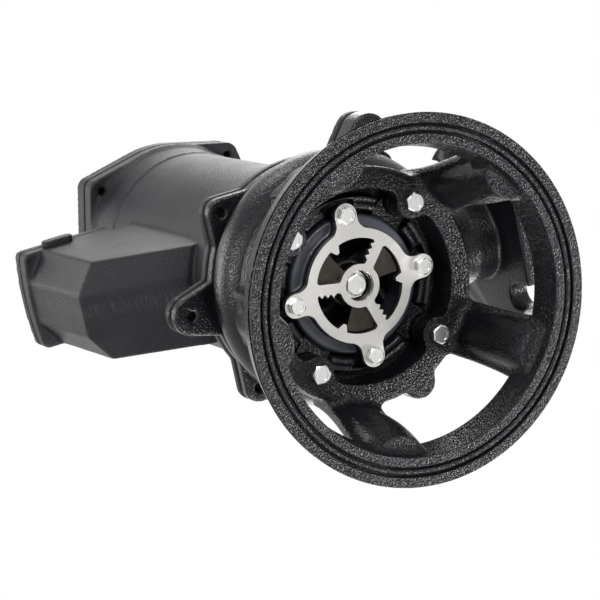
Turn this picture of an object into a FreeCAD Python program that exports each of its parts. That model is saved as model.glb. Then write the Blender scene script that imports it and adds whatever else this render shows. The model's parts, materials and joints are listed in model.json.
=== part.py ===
import FreeCAD, Part
import math
import os

# Submersible grinder pump, upright on its foot ring. Millimetres.
# The shaft is on Z, the foot ring rests on z = 0 and the discharge flange faces +X.

Vec = FreeCAD.Vector
UP = Vec(0, 0, 1)

# Clearances
seat_gap = 0.2
running_gap = 0.3
bore_gap = 0.5

# Foot ring and legs
foot_outer_r = 127.0
foot_inner_r = 106.0
foot_height = 24.0
foot_top_outer_r = 120.5
foot_top_inner_r = 102.5
foot_edge_r = 1.5
foot_groove_r = 116.2
foot_groove_width = 7.0
foot_groove_depth = 4.0
foot_bead_r = 1.7
foot_bead_rise = 2.6
leg_count = 5
leg_web_thickness = 12.0
leg_web_half_width = 21.0
leg_foot_half_width = 29.0
leg_top_r = 84.0
leg_waist_r = 96.5
leg_waist_z = 60.0
leg_foot_r = 113.0
leg_hump_half_width = 18.0
leg_hump_half_depth = 14.0
leg_hump_foot_r = 107.0
leg_hump_top_r = 86.0
leg_pad_z = 10.0
leg_clear_depth = 40.0

# Stand plate that the legs carry
plate_z = 80.0
plate_outer_r = 85.0
plate_bore_r = 69.0
lobe_r = 12.5
lobe_thickness = 15.0
lobe_fillet = 6.0
plate_edge_r = 3.0
lug_angle = 70.5
lug_centre_r = 84.0
lug_r = 12.5

# Bolts that hold stand, suction cover and volute
stand_bolt_circle_r = 69.0
stand_bolt_r = 3.95
stand_bolt_flats = 12.7
stand_bolt_head = 5.3
stand_bolt_count = 4

# Suction cover
cover_face_z = 99.0
cover_disc_r = 50.0
cover_ear_r = 12.0
cover_arm_z = 102.5
cover_edge_r = 2.5
cover_bore_r = 36.0

# Stationary cutter plate
cutter_plate_z = 89.0
cutter_plate_thickness = 4.0
cutter_rim_r = 41.0
window_outer_r = 34.0
window_inner_r = 15.5
cutter_hub_bore_r = 11.0
cutter_ear_circle_r = 51.4
cutter_ear_r = 8.5
cutter_ear_blend = 9.0
spoke_count = 3
spoke_width = 7.0
spoke_angle = 70.5
tooth_count = 3
tooth_size = 2.6
tooth_start_r = 18.5
tooth_pitch = 4.6
nib_angle = 6.5
nib_tip_r = 29.0
nib_width = 7.0
window_corner_r = 2.4
plate_screw_flats = 11.1
plate_screw_head = 4.3
plate_screw_r = 3.1
plate_screw_length = 14.0

# Rotating cutter and the bolt that holds it
blade_count = 3
blade_tip_r = 33.0
blade_thickness = 6.0
blade_half_angle = 21.5
blade_angle = 96.5
notch_count = 4
notch_r = 1.3
cutter_hub_r = 14.8
cutter_pocket_r = 10.7
cutter_pocket_depth = 6.6
centre_bolt_flats = 14.3
centre_bolt_head = 5.2
centre_bolt_r = 4.75
centre_bolt_length = 34.0
lock_washer_r = 9.9
lock_washer_thickness = 1.6

# Volute
volute_floor_z = 107.0
volute_floor = 8.0
volute_body_r = 80.0
scroll_centre_r = 71.0
scroll_start_r = 19.0
scroll_end_r = 25.0
scroll_start_angle = 35.0
scroll_end_angle = 330.0
scroll_sections = 9
scroll_wall = 6.0
chamber_r = 66.0
rib_inner_r = 53.0
rib_outer_r = 58.4
rib_height = 9.0
rib_edge_r = 1.6
rib_near_angle = 12.0
rib_far_angle = 31.0
cover_rim_inner_r = 60.3
cover_rim_outer_r = 62.6

# Discharge
discharge_z = 127.0
discharge_back_x = 120.0
discharge_flange_thickness = 15.0
discharge_flange_r = 72.0
discharge_flat = 61.5
discharge_bore_r = 26.0
discharge_throat_r = 13.0
discharge_throat_x = 60.0
discharge_throat_rise = 5.0
discharge_straight = 23.0
discharge_wall = 7.0
discharge_bolt_spacing = 85.3
discharge_slot_width = 19.0
discharge_neck_fillet = 5.0

# Joint between volute and motor
joint_z = 150.0
joint_thickness = 8.5
joint_r = 87.0
joint_square_half = 76.0
joint_corner_r = 11.0
joint_gasket = 1.0
joint_gasket_inset = 1.5
rear_ear_r = 104.0
rear_ear_end_r = 14.0
side_ear_angle = 58.5
side_ear_r = 108.0
side_ear_end_r = 15.0
side_ear_depth = 10.0
ear_root_r = 28.0
corner_bolt_r = 92.5
joint_bolt_r = 3.1
joint_bolt_flats = 11.1
joint_bolt_head = 4.3
joint_bolt_recess = 4.0

# Seal housing between volute and motor
seal_spigot_r = 69.7
seal_floor_z = 141.0
seal_collar_r = 78.0
seal_collar_height = 7.5
seal_hub_r = 50.0
seal_neck_r = 38.0
oil_chamber_r = 44.0
oil_floor = 9.0
oil_height = 24.0
seal_seat_r = 18.0
seal_seat_depth = 6.0
seal_ring_r = 15.5
seal_shaft_bore_r = 12.5
seal_wall = 4.0
lower_bearing_r = 31.0
lower_bearing_width = 17.0
bearing_race = 4.5

# Motor housing
housing_r = 73.0
housing_wall = 7.0
flare_inset = 1.0
flare_height = 70.0
flare_waist_rise = 30.0
flare_waist_swell = 4.3
bead_z = 372.0
bead_r = 1.6
collar_swell = 2.6
collar_z = 397.0
cap_flange_z = 404.0
cap_flange_thickness = 13.0
cap_flange_round_swell = 4.8
cap_flange_square_in = 6.0
cap_flange_corner_r = 10.0
cap_flange_root = 3.5

# Motor cap
cap_gasket = 1.0
cap_gasket_inset = 1.2
cap_thickness = 14.5
cap_dome_r = 58.0
cap_dome_height = 10.0
cap_dome_fillet = 6.0
cap_boss_r = 32.0
cap_spigot_depth = 6.0
cap_screw_inset = 10.7
cap_screw_r = 3.1
cap_screw_hole_r = 3.4
cap_screw_flats = 11.1
cap_screw_head = 4.3
cap_screw_recess = 4.0
upper_bearing_r = 23.5
upper_bearing_width = 14.0
wave_spring_height = 2.5
wave_spring_inset = 4.0

# Lifting handle on the cap
handle_half_span = 40.0
handle_rise = 48.0
handle_rod_r = 5.0
handle_bend_r = 16.0
handle_pad_r = 11.0
handle_pad_height = 9.0

# Side box on the motor housing
box_half_width = 38.0
box_root_in = 23.0
box_low_z = 202.0
box_mid_z = 247.0
box_top_z = 340.0
box_low_side_out = -1.4
box_low_nose_out = 7.0
box_mid_side_out = 61.5
box_mid_nose_out = 77.0
box_top_side_out = 65.0
box_top_nose_out = 81.0
box_nose_half_width = 16.0
box_wall = 6.0
box_lip_height = 12.0
box_lip_out = 83.5
box_lip_bow = 3.0
box_lip_inner_gap = 2.9
box_lip_corner_r = 5.0
box_cover_thickness = 8.0
box_gasket = 1.0
box_gasket_inset = 1.0
box_screw_r = 2.4
box_screw_head_r = 4.2
box_screw_head = 2.6
box_screw_inset = 8.0
box_screw_tip = 4.0
wire_port_r = 9.0
side_plug_length = 25.0
side_plug_width = 11.0
side_plug_rise = 3.6
side_plug_out = 50.0
side_plug_drop = 6.5

# Cable inlet on the side box
gland_out = 39.0
gland_body_r = 15.0
gland_body_height = 12.0
gland_nut_flats = 27.0
gland_nut_height = 14.0
gland_seal_r = 9.5
gland_cable_r = 6.0

# Shaft line
shaft_seal_r = 10.0
shaft_impeller_r = 9.0
shaft_bearing_r = 12.5
shaft_rotor_r = 15.0
shaft_upper_r = 10.0
impeller_r = 61.0
impeller_hub_r = 16.0
impeller_shroud = 4.0
impeller_vane_height = 14.0
impeller_vane_count = 6
impeller_vane_thickness = 4.5
impeller_vane_sweep = 60.0
key_width = 5.0
key_length = 18.0

# Motor
stator_bore_r = 38.0
stator_z = 235.0
stator_length = 105.0
slot_count = 12
slot_width = 9.0
slot_lip = 2.0
stator_back = 10.8
winding_height = 24.0
winding_inner_r = 42.0
winding_outer_inset = 4.8
winding_edge_r = 6.0
end_ring_height = 9.0
end_ring_r = 34.0
capacitor_r = 16.4
capacitor_out = 32.0
capacitor_length = 72.0
shelf_rise = 9.0
shelf_thickness = 4.0
relay_length = 34.0
relay_width = 16.0
relay_out = 59.5
relay_height = 22.0


# Radii and places that follow from the sizes above
housing_bore_r = housing_r - housing_wall
flare_r = joint_r - flare_inset
flare_waist_r = housing_r + flare_waist_swell
collar_r = housing_r + collar_swell
cap_flange_round_r = housing_r + cap_flange_round_swell
cap_flange_half = housing_r - cap_flange_square_in
cap_screw_spacing = 2 * (cap_flange_half - cap_screw_inset)
cap_spigot_r = housing_bore_r - running_gap
stator_r = housing_bore_r - seat_gap
winding_outer_r = stator_r - winding_outer_inset
slot_depth = stator_r - stator_bore_r - slot_lip - stator_back
rotor_r = stator_bore_r - bore_gap
box_root_x = -(housing_r - box_root_in)
box_low_side_x = -(housing_r + box_low_side_out)
box_low_nose_x = -(housing_r + box_low_nose_out)
box_mid_side_x = -(housing_r + box_mid_side_out)
box_mid_nose_x = -(housing_r + box_mid_nose_out)
box_top_side_x = -(housing_r + box_top_side_out)
box_top_nose_x = -(housing_r + box_top_nose_out)
box_lip_x = -(housing_r + box_lip_out)
box_lip_inner_x = -(collar_r + box_lip_inner_gap)
side_plug_x = -(housing_r + side_plug_out)
gland_x = -(housing_r + gland_out)
capacitor_x = -(housing_r + capacitor_out)
relay_x = -(housing_r + relay_out)
shelf_z = box_mid_z + shelf_rise

# Heights that follow from the sizes above
lobe_back_z = plate_z + lobe_thickness
chamber_floor_z = volute_floor_z + volute_floor
joint_top_z = joint_z + joint_thickness
motor_flange_z = joint_top_z + joint_gasket
motor_flange_top_z = motor_flange_z + joint_thickness
seal_collar_top_z = joint_top_z + seal_collar_height
oil_floor_z = seal_floor_z + oil_floor
oil_top_z = oil_floor_z + oil_height
upper_seat_z = oil_top_z + seal_seat_depth
lower_bearing_z = upper_seat_z + seal_wall
lower_bearing_top_z = lower_bearing_z + lower_bearing_width
cap_flange_top_z = cap_flange_z + cap_flange_thickness
cap_z = cap_flange_top_z + cap_gasket
cap_top_z = cap_z + cap_thickness
cap_dome_z = cap_top_z + cap_dome_height
upper_bearing_top_z = cap_z - wave_spring_height
upper_bearing_z = upper_bearing_top_z - upper_bearing_width
blade_z = cutter_plate_z + cutter_plate_thickness + running_gap
washer_z = blade_z + cutter_pocket_depth - lock_washer_thickness
cutter_hub_end_z = volute_floor_z - 1.0
box_lip_top_z = box_top_z + box_lip_height
box_cover_z = box_lip_top_z + box_gasket
box_cover_top_z = box_cover_z + box_cover_thickness
impeller_vane_z = chamber_floor_z + running_gap
impeller_shroud_z = impeller_vane_z + impeller_vane_height
impeller_top_z = seal_floor_z - 1.0
shaft_low_z = cutter_hub_end_z
shaft_top_z = upper_bearing_top_z


def polar(radius, angle, z=0.0):
    turn = math.radians(angle)
    return Vec(radius * math.cos(turn), radius * math.sin(turn), z)


def cylinder(radius, low, high, at=Vec(0, 0, 0)):
    return Part.makeCylinder(radius, high - low, Vec(at.x, at.y, low))


def tube(outer, inner, low, high, at=Vec(0, 0, 0)):
    return cylinder(outer, low, high, at).cut(cylinder(inner, low - 1, high + 1, at))


def block(x_low, x_high, y_low, y_high, low, high):
    return Part.makeBox(x_high - x_low, y_high - y_low, high - low, Vec(x_low, y_low, low))


def prism(points, low, high):
    corners = [Vec(x, y, low) for x, y in points]
    wire = Part.makePolygon(corners + corners[:1])
    return Part.Face(wire).extrude(Vec(0, 0, high - low))


def revolve(points):
    corners = [Vec(r, 0, z) for r, z in points]
    wire = Part.makePolygon(corners + corners[:1])
    return Part.Face(wire).revolve(Vec(0, 0, 0), UP, 360)


def fuse(shapes):
    shapes = list(shapes)
    return shapes[0].fuse(shapes[1:]).removeSplitter()


def turned(shape, angle):
    copy = shape.copy()
    copy.rotate(Vec(0, 0, 0), UP, angle)
    return copy


def around(shape, angles):
    return [turned(shape, angle) for angle in angles]


def hexagon(flats, low, high, at=Vec(0, 0, 0)):
    corner = flats / math.sqrt(3)
    points = [(at.x + corner * math.cos(math.radians(60 * i)), at.y + corner * math.sin(math.radians(60 * i)))
              for i in range(6)]
    chamfer = cylinder(flats / 2 * 1.13, low, high, at)
    return prism(points, low, high).common(chamfer)


def hex_bolt(at, head_z, direction, flats, head, shank_r, length):
    """A hex bolt: head_z is the seat of the head, and direction is +1 when the shank points up."""
    if direction > 0:
        return hexagon(flats, head_z - head, head_z, at).fuse(cylinder(shank_r, head_z, head_z + length, at))
    return hexagon(flats, head_z, head_z + head, at).fuse(cylinder(shank_r, head_z - length, head_z, at))


def upright_edges(shape, near=None, reach=0.0):
    """Straight edges along Z, all of them or those within reach of the points in near."""
    found = []
    for edge in shape.Edges:
        if len(edge.Vertexes) != 2 or edge.Curve.TypeId != "Part::GeomLine":
            continue
        first, last = edge.Vertexes[0].Point, edge.Vertexes[1].Point
        if abs(first.x - last.x) > 0.01 or abs(first.y - last.y) > 0.01:
            continue
        if near is None or any(math.hypot(first.x - p.x, first.y - p.y) < reach for p in near):
            found.append(edge)
    return found


def level_edges(shape, z):
    """Edges that lie wholly at one height."""
    return [edge for edge in shape.Edges
            if abs(edge.BoundBox.ZMin - z) < 0.01 and abs(edge.BoundBox.ZMax - z) < 0.01]


def round_square(half, corner_r, low, high):
    square = block(-half, half, -half, half, low, high)
    return square.makeFillet(corner_r, upright_edges(square))


def tapered_ear(centre, end_r, root_r, low, high):
    """The outline round a root circle on the shaft and an end circle, joined by their tangents."""
    reach = math.hypot(centre.x, centre.y)
    facing = math.degrees(math.atan2(centre.y, centre.x))
    spread = math.degrees(math.acos((root_r - end_r) / reach))
    points = []
    for radius, at in ((root_r, 0.0), (end_r, reach)):
        for side in (1, -1):
            turn = math.radians(side * spread)
            points.append((at + radius * math.cos(turn), radius * math.sin(turn)))
    web = turned(prism([points[0], points[2], points[3], points[1]], low, high), facing)
    return fuse([cylinder(root_r, low, high), cylinder(end_r, low, high, centre), web])


# Foot ring, legs and plate


def foot_ring():
    half = foot_groove_width / 2
    ring = revolve([(foot_inner_r, 0), (foot_groove_r - half, 0), (foot_groove_r - half + 0.8, foot_groove_depth),
                    (foot_groove_r + half - 0.8, foot_groove_depth), (foot_groove_r + half, 0),
                    (foot_outer_r, 0), (foot_outer_r - 1, foot_height / 4), (foot_top_outer_r, foot_height),
                    (foot_top_inner_r, foot_height)])
    rims = [edge for edge in ring.Edges if edge.BoundBox.XMax > foot_outer_r - 0.01
            or (edge.BoundBox.ZMin > foot_height - 0.01 and edge.BoundBox.XMax > foot_top_outer_r - 0.01)]
    ring = ring.makeFillet(foot_edge_r, rims)
    bead = Part.makeTorus(foot_groove_r, foot_bead_r, Vec(0, 0, foot_groove_depth - foot_bead_rise + foot_bead_r))
    return ring.fuse(bead)


def leg_section(reach, half_width, half_depth, z, power):
    """A closed smooth outline, oval for power 2 and nearer a rounded bar for a higher power."""
    points = []
    for i in range(16):
        turn = 2 * math.pi * i / 16
        c, t = math.cos(turn), math.sin(turn)
        points.append(Vec(reach + half_depth * math.copysign(abs(c) ** (2 / power), c),
                          half_width * math.copysign(abs(t) ** (2 / power), t), z))
    curve = Part.BSplineCurve()
    curve.interpolate(Points=points, PeriodicFlag=True)
    return Part.Wire(curve.toShape())


def leg():
    """One leg on +X: a flat web that flares to the ring, and a hump inside it with a flat pad at its foot."""
    half = leg_web_thickness / 2
    web = Part.makeLoft([leg_section(leg_foot_r, leg_foot_half_width, half, foot_height / 3, 4),
                         leg_section(leg_foot_r - 3, leg_web_half_width + 4, half, foot_height, 4),
                         leg_section(leg_waist_r, leg_web_half_width, half, leg_waist_z, 4),
                         leg_section(leg_top_r, leg_web_half_width, half, volute_floor_z - 1, 4)], True)
    depth = leg_hump_half_depth
    hump = Part.makeLoft([leg_section(leg_hump_foot_r, leg_hump_half_width, depth, leg_pad_z, 2),
                          leg_section(leg_hump_foot_r - 8, leg_hump_half_width - 1, depth - 1, foot_height + 8, 2),
                          leg_section(leg_waist_r - 3, leg_hump_half_width - 2, depth - 3, leg_waist_z, 2),
                          leg_section(leg_hump_top_r, leg_hump_half_width - 3, depth - 4, lobe_back_z, 2)], True)
    keep = cylinder(foot_top_outer_r - foot_edge_r, leg_pad_z - 5, volute_floor_z)
    return web.fuse(hump).common(keep)


def plate_ears():
    return [polar(stand_bolt_circle_r, 45 + 90 * i) for i in range(stand_bolt_count)]


def stand_plate():
    """The plate at the top of the legs, with four bolt lobes reaching into its bore."""
    bore = cylinder(plate_bore_r, plate_z - 1, volute_floor_z + 1)
    lobes = fuse([cylinder(lobe_r, plate_z - 1, volute_floor_z + 1, at) for at in plate_ears()])
    opening = bore.cut(lobes)
    corners = upright_edges(opening)
    opening = opening.makeFillet(lobe_fillet, corners)
    plate = cylinder(plate_outer_r, plate_z, volute_floor_z)
    lug = cylinder(lug_r, plate_z, lobe_back_z, polar(lug_centre_r, lug_angle))
    plate = plate.makeFillet(plate_edge_r, level_edges(plate, plate_z))
    lug = lug.makeFillet(plate_edge_r, level_edges(lug, plate_z))
    plate = plate.fuse(lug).cut(opening)
    recess = fuse([cylinder(plate_bore_r, lobe_back_z, volute_floor_z + 1)]
                  + [cylinder(cover_ear_r + bore_gap, lobe_back_z, volute_floor_z + 1, at) for at in plate_ears()])
    holes = [cylinder(stand_bolt_r + seat_gap, plate_z - 1, volute_floor_z, at) for at in plate_ears()]
    return plate.cut(recess).cut(fuse(holes))


def leg_stand():
    legs = around(leg(), [180 + 360 / leg_count * i for i in range(leg_count)])
    bore = cylinder(plate_bore_r + lobe_r + 1, plate_z - leg_clear_depth, volute_floor_z + 1)
    return foot_ring().fuse([shape.cut(bore) for shape in legs] + [stand_plate()])


def stand_bolts():
    length = chamber_floor_z - 1.5 - plate_z
    return [hex_bolt(at, plate_z, 1, stand_bolt_flats, stand_bolt_head, stand_bolt_r, length)
            for at in plate_ears()]


# Suction cover and cutters


def cutter_outline(low, high, inset=0.0):
    """The rim of the stationary cutter with its four ears and their hollow flanks."""
    shapes = [cylinder(cutter_rim_r - inset, low, high)]
    for i in range(4):
        arm = block(0, cutter_ear_circle_r, inset - cutter_ear_r, cutter_ear_r - inset, low, high)
        shapes.append(turned(arm, 90 * i))
        shapes.append(cylinder(cutter_ear_r - inset, low, high, polar(cutter_ear_circle_r, 90 * i)))
    outline = fuse(shapes)
    rim = math.degrees(math.asin((cutter_ear_r - inset) / (cutter_rim_r - inset)))
    roots = [polar(cutter_rim_r - inset, 90 * i + side * rim) for i in range(4) for side in (-1, 1)]
    return outline.makeFillet(cutter_ear_blend, upright_edges(outline, roots, 1.0))


def suction_cover():
    disc = cylinder(cover_disc_r, cover_face_z, volute_floor_z)
    disc = disc.makeFillet(cover_edge_r, level_edges(disc, cover_face_z))
    spigot = cylinder(cover_disc_r - seat_gap, volute_floor_z, chamber_floor_z)
    ears = []
    for at in plate_ears():
        facing = math.degrees(math.atan2(at.y, at.x))
        arm = turned(block(cover_bore_r + 4, stand_bolt_circle_r, -cover_ear_r, cover_ear_r,
                           cover_arm_z, volute_floor_z), facing)
        ears.append(arm)
        ears.append(cylinder(cover_ear_r, lobe_back_z, volute_floor_z, at))
    boss = cutter_outline(cutter_plate_z + cutter_plate_thickness, cover_face_z + 1, 0.8)
    cover = fuse([disc, spigot, boss] + ears)
    holes = [cylinder(cover_bore_r, cutter_plate_z, chamber_floor_z + 1)]
    for at in plate_ears():
        holes.append(cylinder(stand_bolt_r + seat_gap, lobe_back_z - 1, volute_floor_z + 1, at))
    for i in range(4):
        holes.append(cylinder(plate_screw_r, cutter_plate_z, cutter_plate_z + plate_screw_length + 1,
                              polar(cutter_ear_circle_r, 90 * i)))
    return cover.cut(fuse(holes))


def cutter_windows():
    """Three windows between toothed spokes, with a nib on the rim of each."""
    low = cutter_plate_z - 1
    high = cutter_plate_z + cutter_plate_thickness + 1
    windows = tube(window_outer_r, window_inner_r, low, high)
    half = spoke_width / 2
    for i in range(spoke_count):
        spoke = block(0, window_outer_r + 2, -half, half, low, high)
        windows = windows.cut(turned(spoke, spoke_angle + 360 / spoke_count * i))
    rim = math.degrees(math.asin(half / window_outer_r))
    hub = math.degrees(math.asin(half / window_inner_r))
    corners = []
    for i in range(spoke_count):
        angle = spoke_angle + 360 / spoke_count * i
        for side in (-1, 1):
            corners.append(polar(window_outer_r, angle + side * rim))
            corners.append(polar(window_inner_r, angle + side * hub))
    windows = windows.makeFillet(window_corner_r, upright_edges(windows, corners, 0.5))
    for i in range(spoke_count):
        turn = 360 / spoke_count * i
        for j in range(tooth_count):
            start = tooth_start_r + tooth_pitch * j
            tooth = prism([(start, -half + 0.5), (start, -half), (start + tooth_pitch / 2, -half - tooth_size),
                           (start + tooth_pitch, -half), (start + tooth_pitch, -half + 0.5)], low, high)
            windows = windows.cut(turned(tooth, spoke_angle + turn))
        nib = prism([(nib_tip_r, -nib_width / 6), (nib_tip_r, nib_width / 6),
                     (window_outer_r + 1, nib_width / 2 + 1), (window_outer_r + 1, -nib_width / 2 - 1)], low, high)
        windows = windows.cut(turned(nib, nib_angle + turn))
    return windows


def cutter_plate():
    low = cutter_plate_z
    plate = cutter_outline(low, low + cutter_plate_thickness)
    plate = plate.cut(cutter_windows())
    holes = [cylinder(cutter_hub_bore_r, low - 1, low + cutter_plate_thickness + 1)]
    for i in range(4):
        holes.append(cylinder(plate_screw_r + seat_gap, low - 1, low + cutter_plate_thickness + 1,
                              polar(cutter_ear_circle_r, 90 * i)))
    return plate.cut(fuse(holes))


def cutter_plate_screws():
    return [hex_bolt(polar(cutter_ear_circle_r, 90 * i), cutter_plate_z, 1, plate_screw_flats, plate_screw_head,
                     plate_screw_r, plate_screw_length) for i in range(4)]


def rotating_cutter():
    """Three broad blades with notched leading edges on one hub, close behind the stationary plate."""
    top = blade_z + blade_thickness
    blades = []
    for i in range(blade_count):
        turn = blade_angle + 360 / blade_count * i
        span = math.radians(blade_half_angle)
        far = blade_tip_r * 1.3
        wedge = prism([(0, 0), (far * math.cos(span), -far * math.sin(span)), (far * 1.05, 0),
                       (far * math.cos(span), far * math.sin(span))], blade_z, top)
        blade = wedge.common(cylinder(blade_tip_r, blade_z, top))
        for j in range(notch_count):
            reach = window_inner_r + 3.5 + j * 3.8
            at = polar(reach, -blade_half_angle)
            blade = blade.cut(cylinder(notch_r, blade_z - 1, top + 1, at))
        blades.append(turned(blade, turn))
    cutter = fuse(blades + [cylinder(cutter_hub_r, blade_z, cutter_hub_end_z)])
    pocket = cylinder(cutter_pocket_r, blade_z - 1, blade_z + cutter_pocket_depth)
    bore = cylinder(centre_bolt_r, blade_z, cutter_hub_end_z + 1)
    return cutter.cut(pocket.fuse(bore))


def cutter_washer():
    return tube(lock_washer_r, centre_bolt_r, washer_z, washer_z + lock_washer_thickness)


def cutter_bolt():
    return hex_bolt(Vec(0, 0, 0), washer_z, 1, centre_bolt_flats, centre_bolt_head, centre_bolt_r,
                    centre_bolt_length)


# Volute


def scroll(shrink=0.0):
    """The horn of the volute: round sections that grow on their way round the shaft."""
    wires = []
    for i in range(scroll_sections):
        share = i / (scroll_sections - 1)
        angle = scroll_start_angle + share * (scroll_end_angle - scroll_start_angle)
        radius = scroll_start_r + share * (scroll_end_r - scroll_start_r) - shrink
        centre = polar(scroll_centre_r, angle, discharge_z)
        turn = math.radians(angle)
        circle = Part.Circle(centre, Vec(-math.sin(turn), math.cos(turn), 0), radius)
        wires.append(Part.Wire(circle.toShape()))
    return Part.makeLoft(wires, True)


def neck(shrink=0.0):
    """The discharge neck: a cone from the scroll's throat, then a straight pipe to the flange."""
    wall = discharge_wall - shrink
    straight_x = discharge_back_x + discharge_flange_thickness - discharge_straight - 10
    wires = []
    for x, z, radius in ((discharge_throat_x, discharge_z + discharge_throat_rise, discharge_throat_r),
                         (straight_x, discharge_z, discharge_bore_r)):
        circle = Part.Circle(Vec(x, 0, z), Vec(1, 0, 0), radius + wall)
        wires.append(Part.Wire(circle.toShape()))
    cone = Part.makeLoft(wires, True, True)
    end = discharge_back_x + discharge_flange_thickness
    pipe = Part.makeCylinder(discharge_bore_r + wall, end - straight_x, Vec(straight_x, 0, discharge_z), Vec(1, 0, 0))
    return cone.fuse(pipe)


def discharge_flange():
    """A round flange with a flat at top and bottom, and four open slots for its bolts."""
    disc = Part.makeCylinder(discharge_flange_r, discharge_flange_thickness,
                             Vec(discharge_back_x, 0, discharge_z), Vec(1, 0, 0))
    end_x = discharge_back_x + discharge_flange_thickness
    disc = disc.common(block(discharge_back_x, end_x, -discharge_flange_r, discharge_flange_r,
                             discharge_z - discharge_flat, discharge_z + discharge_flat))
    half = discharge_bolt_spacing / 2
    slot_r = discharge_slot_width / 2
    for side in (-1, 1):
        for rise in (-1, 1):
            bolt = Vec(discharge_back_x - 1, side * half, discharge_z + rise * half)
            eye = Part.makeCylinder(slot_r, discharge_flange_thickness + 2, bolt, Vec(1, 0, 0))
            low, high = sorted((bolt.z, bolt.z + rise * discharge_flange_r))
            way = block(discharge_back_x - 1, end_x + 1, bolt.y - slot_r, bolt.y + slot_r, low, high)
            disc = disc.cut(eye.fuse(way))
    return disc


def joint_outline(low, high, inset=0.0):
    """The plate shape that volute and motor share: a disc, a rounded square and three ears."""
    ears = [polar(rear_ear_r, 180)] + [polar(side_ear_r, side * side_ear_angle) for side in (-1, 1)]
    shapes = [cylinder(joint_r - inset, low, high),
              round_square(joint_square_half - inset, joint_corner_r, low, high),
              tapered_ear(ears[0], rear_ear_end_r - inset, rear_ear_end_r + ear_root_r, low, high)]
    for at in ears[1:]:
        shapes.append(tapered_ear(at, side_ear_end_r - inset, side_ear_end_r + ear_root_r / 2, low, high))
    return fuse(shapes)


def joint_bolt_places():
    corners = [polar(corner_bolt_r, 45 + 90 * i) for i in range(4)]
    sides = [polar(side_ear_r, side * side_ear_angle) for side in (-1, 1)]
    return [polar(rear_ear_r, 180)] + sides + corners[1:3]


def rib(inner_r, outer_r, start, end):
    """A raised arc on the underside of the volute, round the suction cover."""
    ring = tube(outer_r, inner_r, volute_floor_z - rib_height, volute_floor_z)
    reach = 2 * outer_r
    wedge = prism([(0, 0), (reach * math.cos(math.radians(start)), reach * math.sin(math.radians(start))),
                   (reach * math.cos(math.radians(end)), reach * math.sin(math.radians(end)))],
                  volute_floor_z - rib_height, volute_floor_z)
    arc = ring.common(wedge)
    edge_r = min(rib_edge_r, (outer_r - inner_r) / 3)
    return arc.makeFillet(edge_r, upright_edges(arc) + level_edges(arc, volute_floor_z - rib_height))


def ribs():
    """A thin rim between the cover's bolts, and inside it a lump at each side of each cutter ear."""
    shapes = []
    for i in range(4):
        middle = 90 * i
        shapes.append(rib(cover_rim_inner_r, cover_rim_outer_r, middle - rib_far_angle, middle + rib_far_angle))
        shapes.append(rib(rib_inner_r, rib_outer_r, middle - rib_far_angle, middle - rib_near_angle))
        shapes.append(rib(rib_inner_r, rib_outer_r, middle + rib_near_angle, middle + rib_far_angle))
    return shapes


def volute_casing():
    body = cylinder(volute_body_r, volute_floor_z, joint_z)
    below = block(-200, 200, -200, 200, 0, volute_floor_z)
    below = below.common(cylinder(plate_outer_r + 1, 0, volute_floor_z))
    horn = scroll().cut(block(-200, 200, -200, 200, 0, volute_floor_z))
    outlet = neck().cut(below).cut(cylinder(chamber_r, 0, 400))
    casing = fuse([body, horn, outlet, discharge_flange(), joint_outline(joint_z, joint_top_z)] + side_ears())
    chamber = cylinder(chamber_r, chamber_floor_z, seal_floor_z + 1)
    channel = scroll(scroll_wall).common(cylinder(2 * joint_r, chamber_floor_z, joint_z))
    throat = neck(discharge_wall)
    throat = throat.cut(cylinder(chamber_r - 20, 0, 400))
    socket = cylinder(seal_spigot_r + seat_gap, seal_floor_z, joint_top_z + 1)
    mouth = cylinder(cover_disc_r + seat_gap, volute_floor_z - 1, chamber_floor_z + 1)
    casing = casing.cut(chamber).cut(channel).cut(throat).cut(socket).cut(mouth)
    holes = [cylinder(joint_bolt_r + seat_gap, joint_z - side_ear_depth - 1, joint_top_z + 1, at)
             for at in joint_bolt_places()]
    holes += [cylinder(stand_bolt_r, volute_floor_z - 1, chamber_floor_z - 1, at) for at in plate_ears()]
    return fuse([casing.cut(fuse(holes))] + ribs())


def side_ears():
    """The deeper undersides of the two side ears, which run in to the volute wall."""
    shapes = []
    for side in (-1, 1):
        at = polar(side_ear_r, side * side_ear_angle)
        shapes.append(tapered_ear(at, side_ear_end_r, side_ear_end_r + ear_root_r / 2,
                                  joint_z - side_ear_depth, joint_z))
    return shapes


def joint_gasket_ring():
    ring = joint_outline(joint_top_z, motor_flange_z, joint_gasket_inset)
    holes = [cylinder(seal_collar_r + bore_gap, joint_top_z - 1, motor_flange_z + 1)]
    holes += [cylinder(joint_bolt_r + seat_gap, joint_top_z - 1, motor_flange_z + 1, at)
              for at in joint_bolt_places()]
    return ring.cut(fuse(holes))


def joint_bolts():
    length = motor_flange_top_z - joint_z - joint_bolt_recess
    return [hex_bolt(at, motor_flange_top_z, -1, joint_bolt_flats, joint_bolt_head, joint_bolt_r, length)
            for at in joint_bolt_places()]


# Seal housing, seals and bearings


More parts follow.
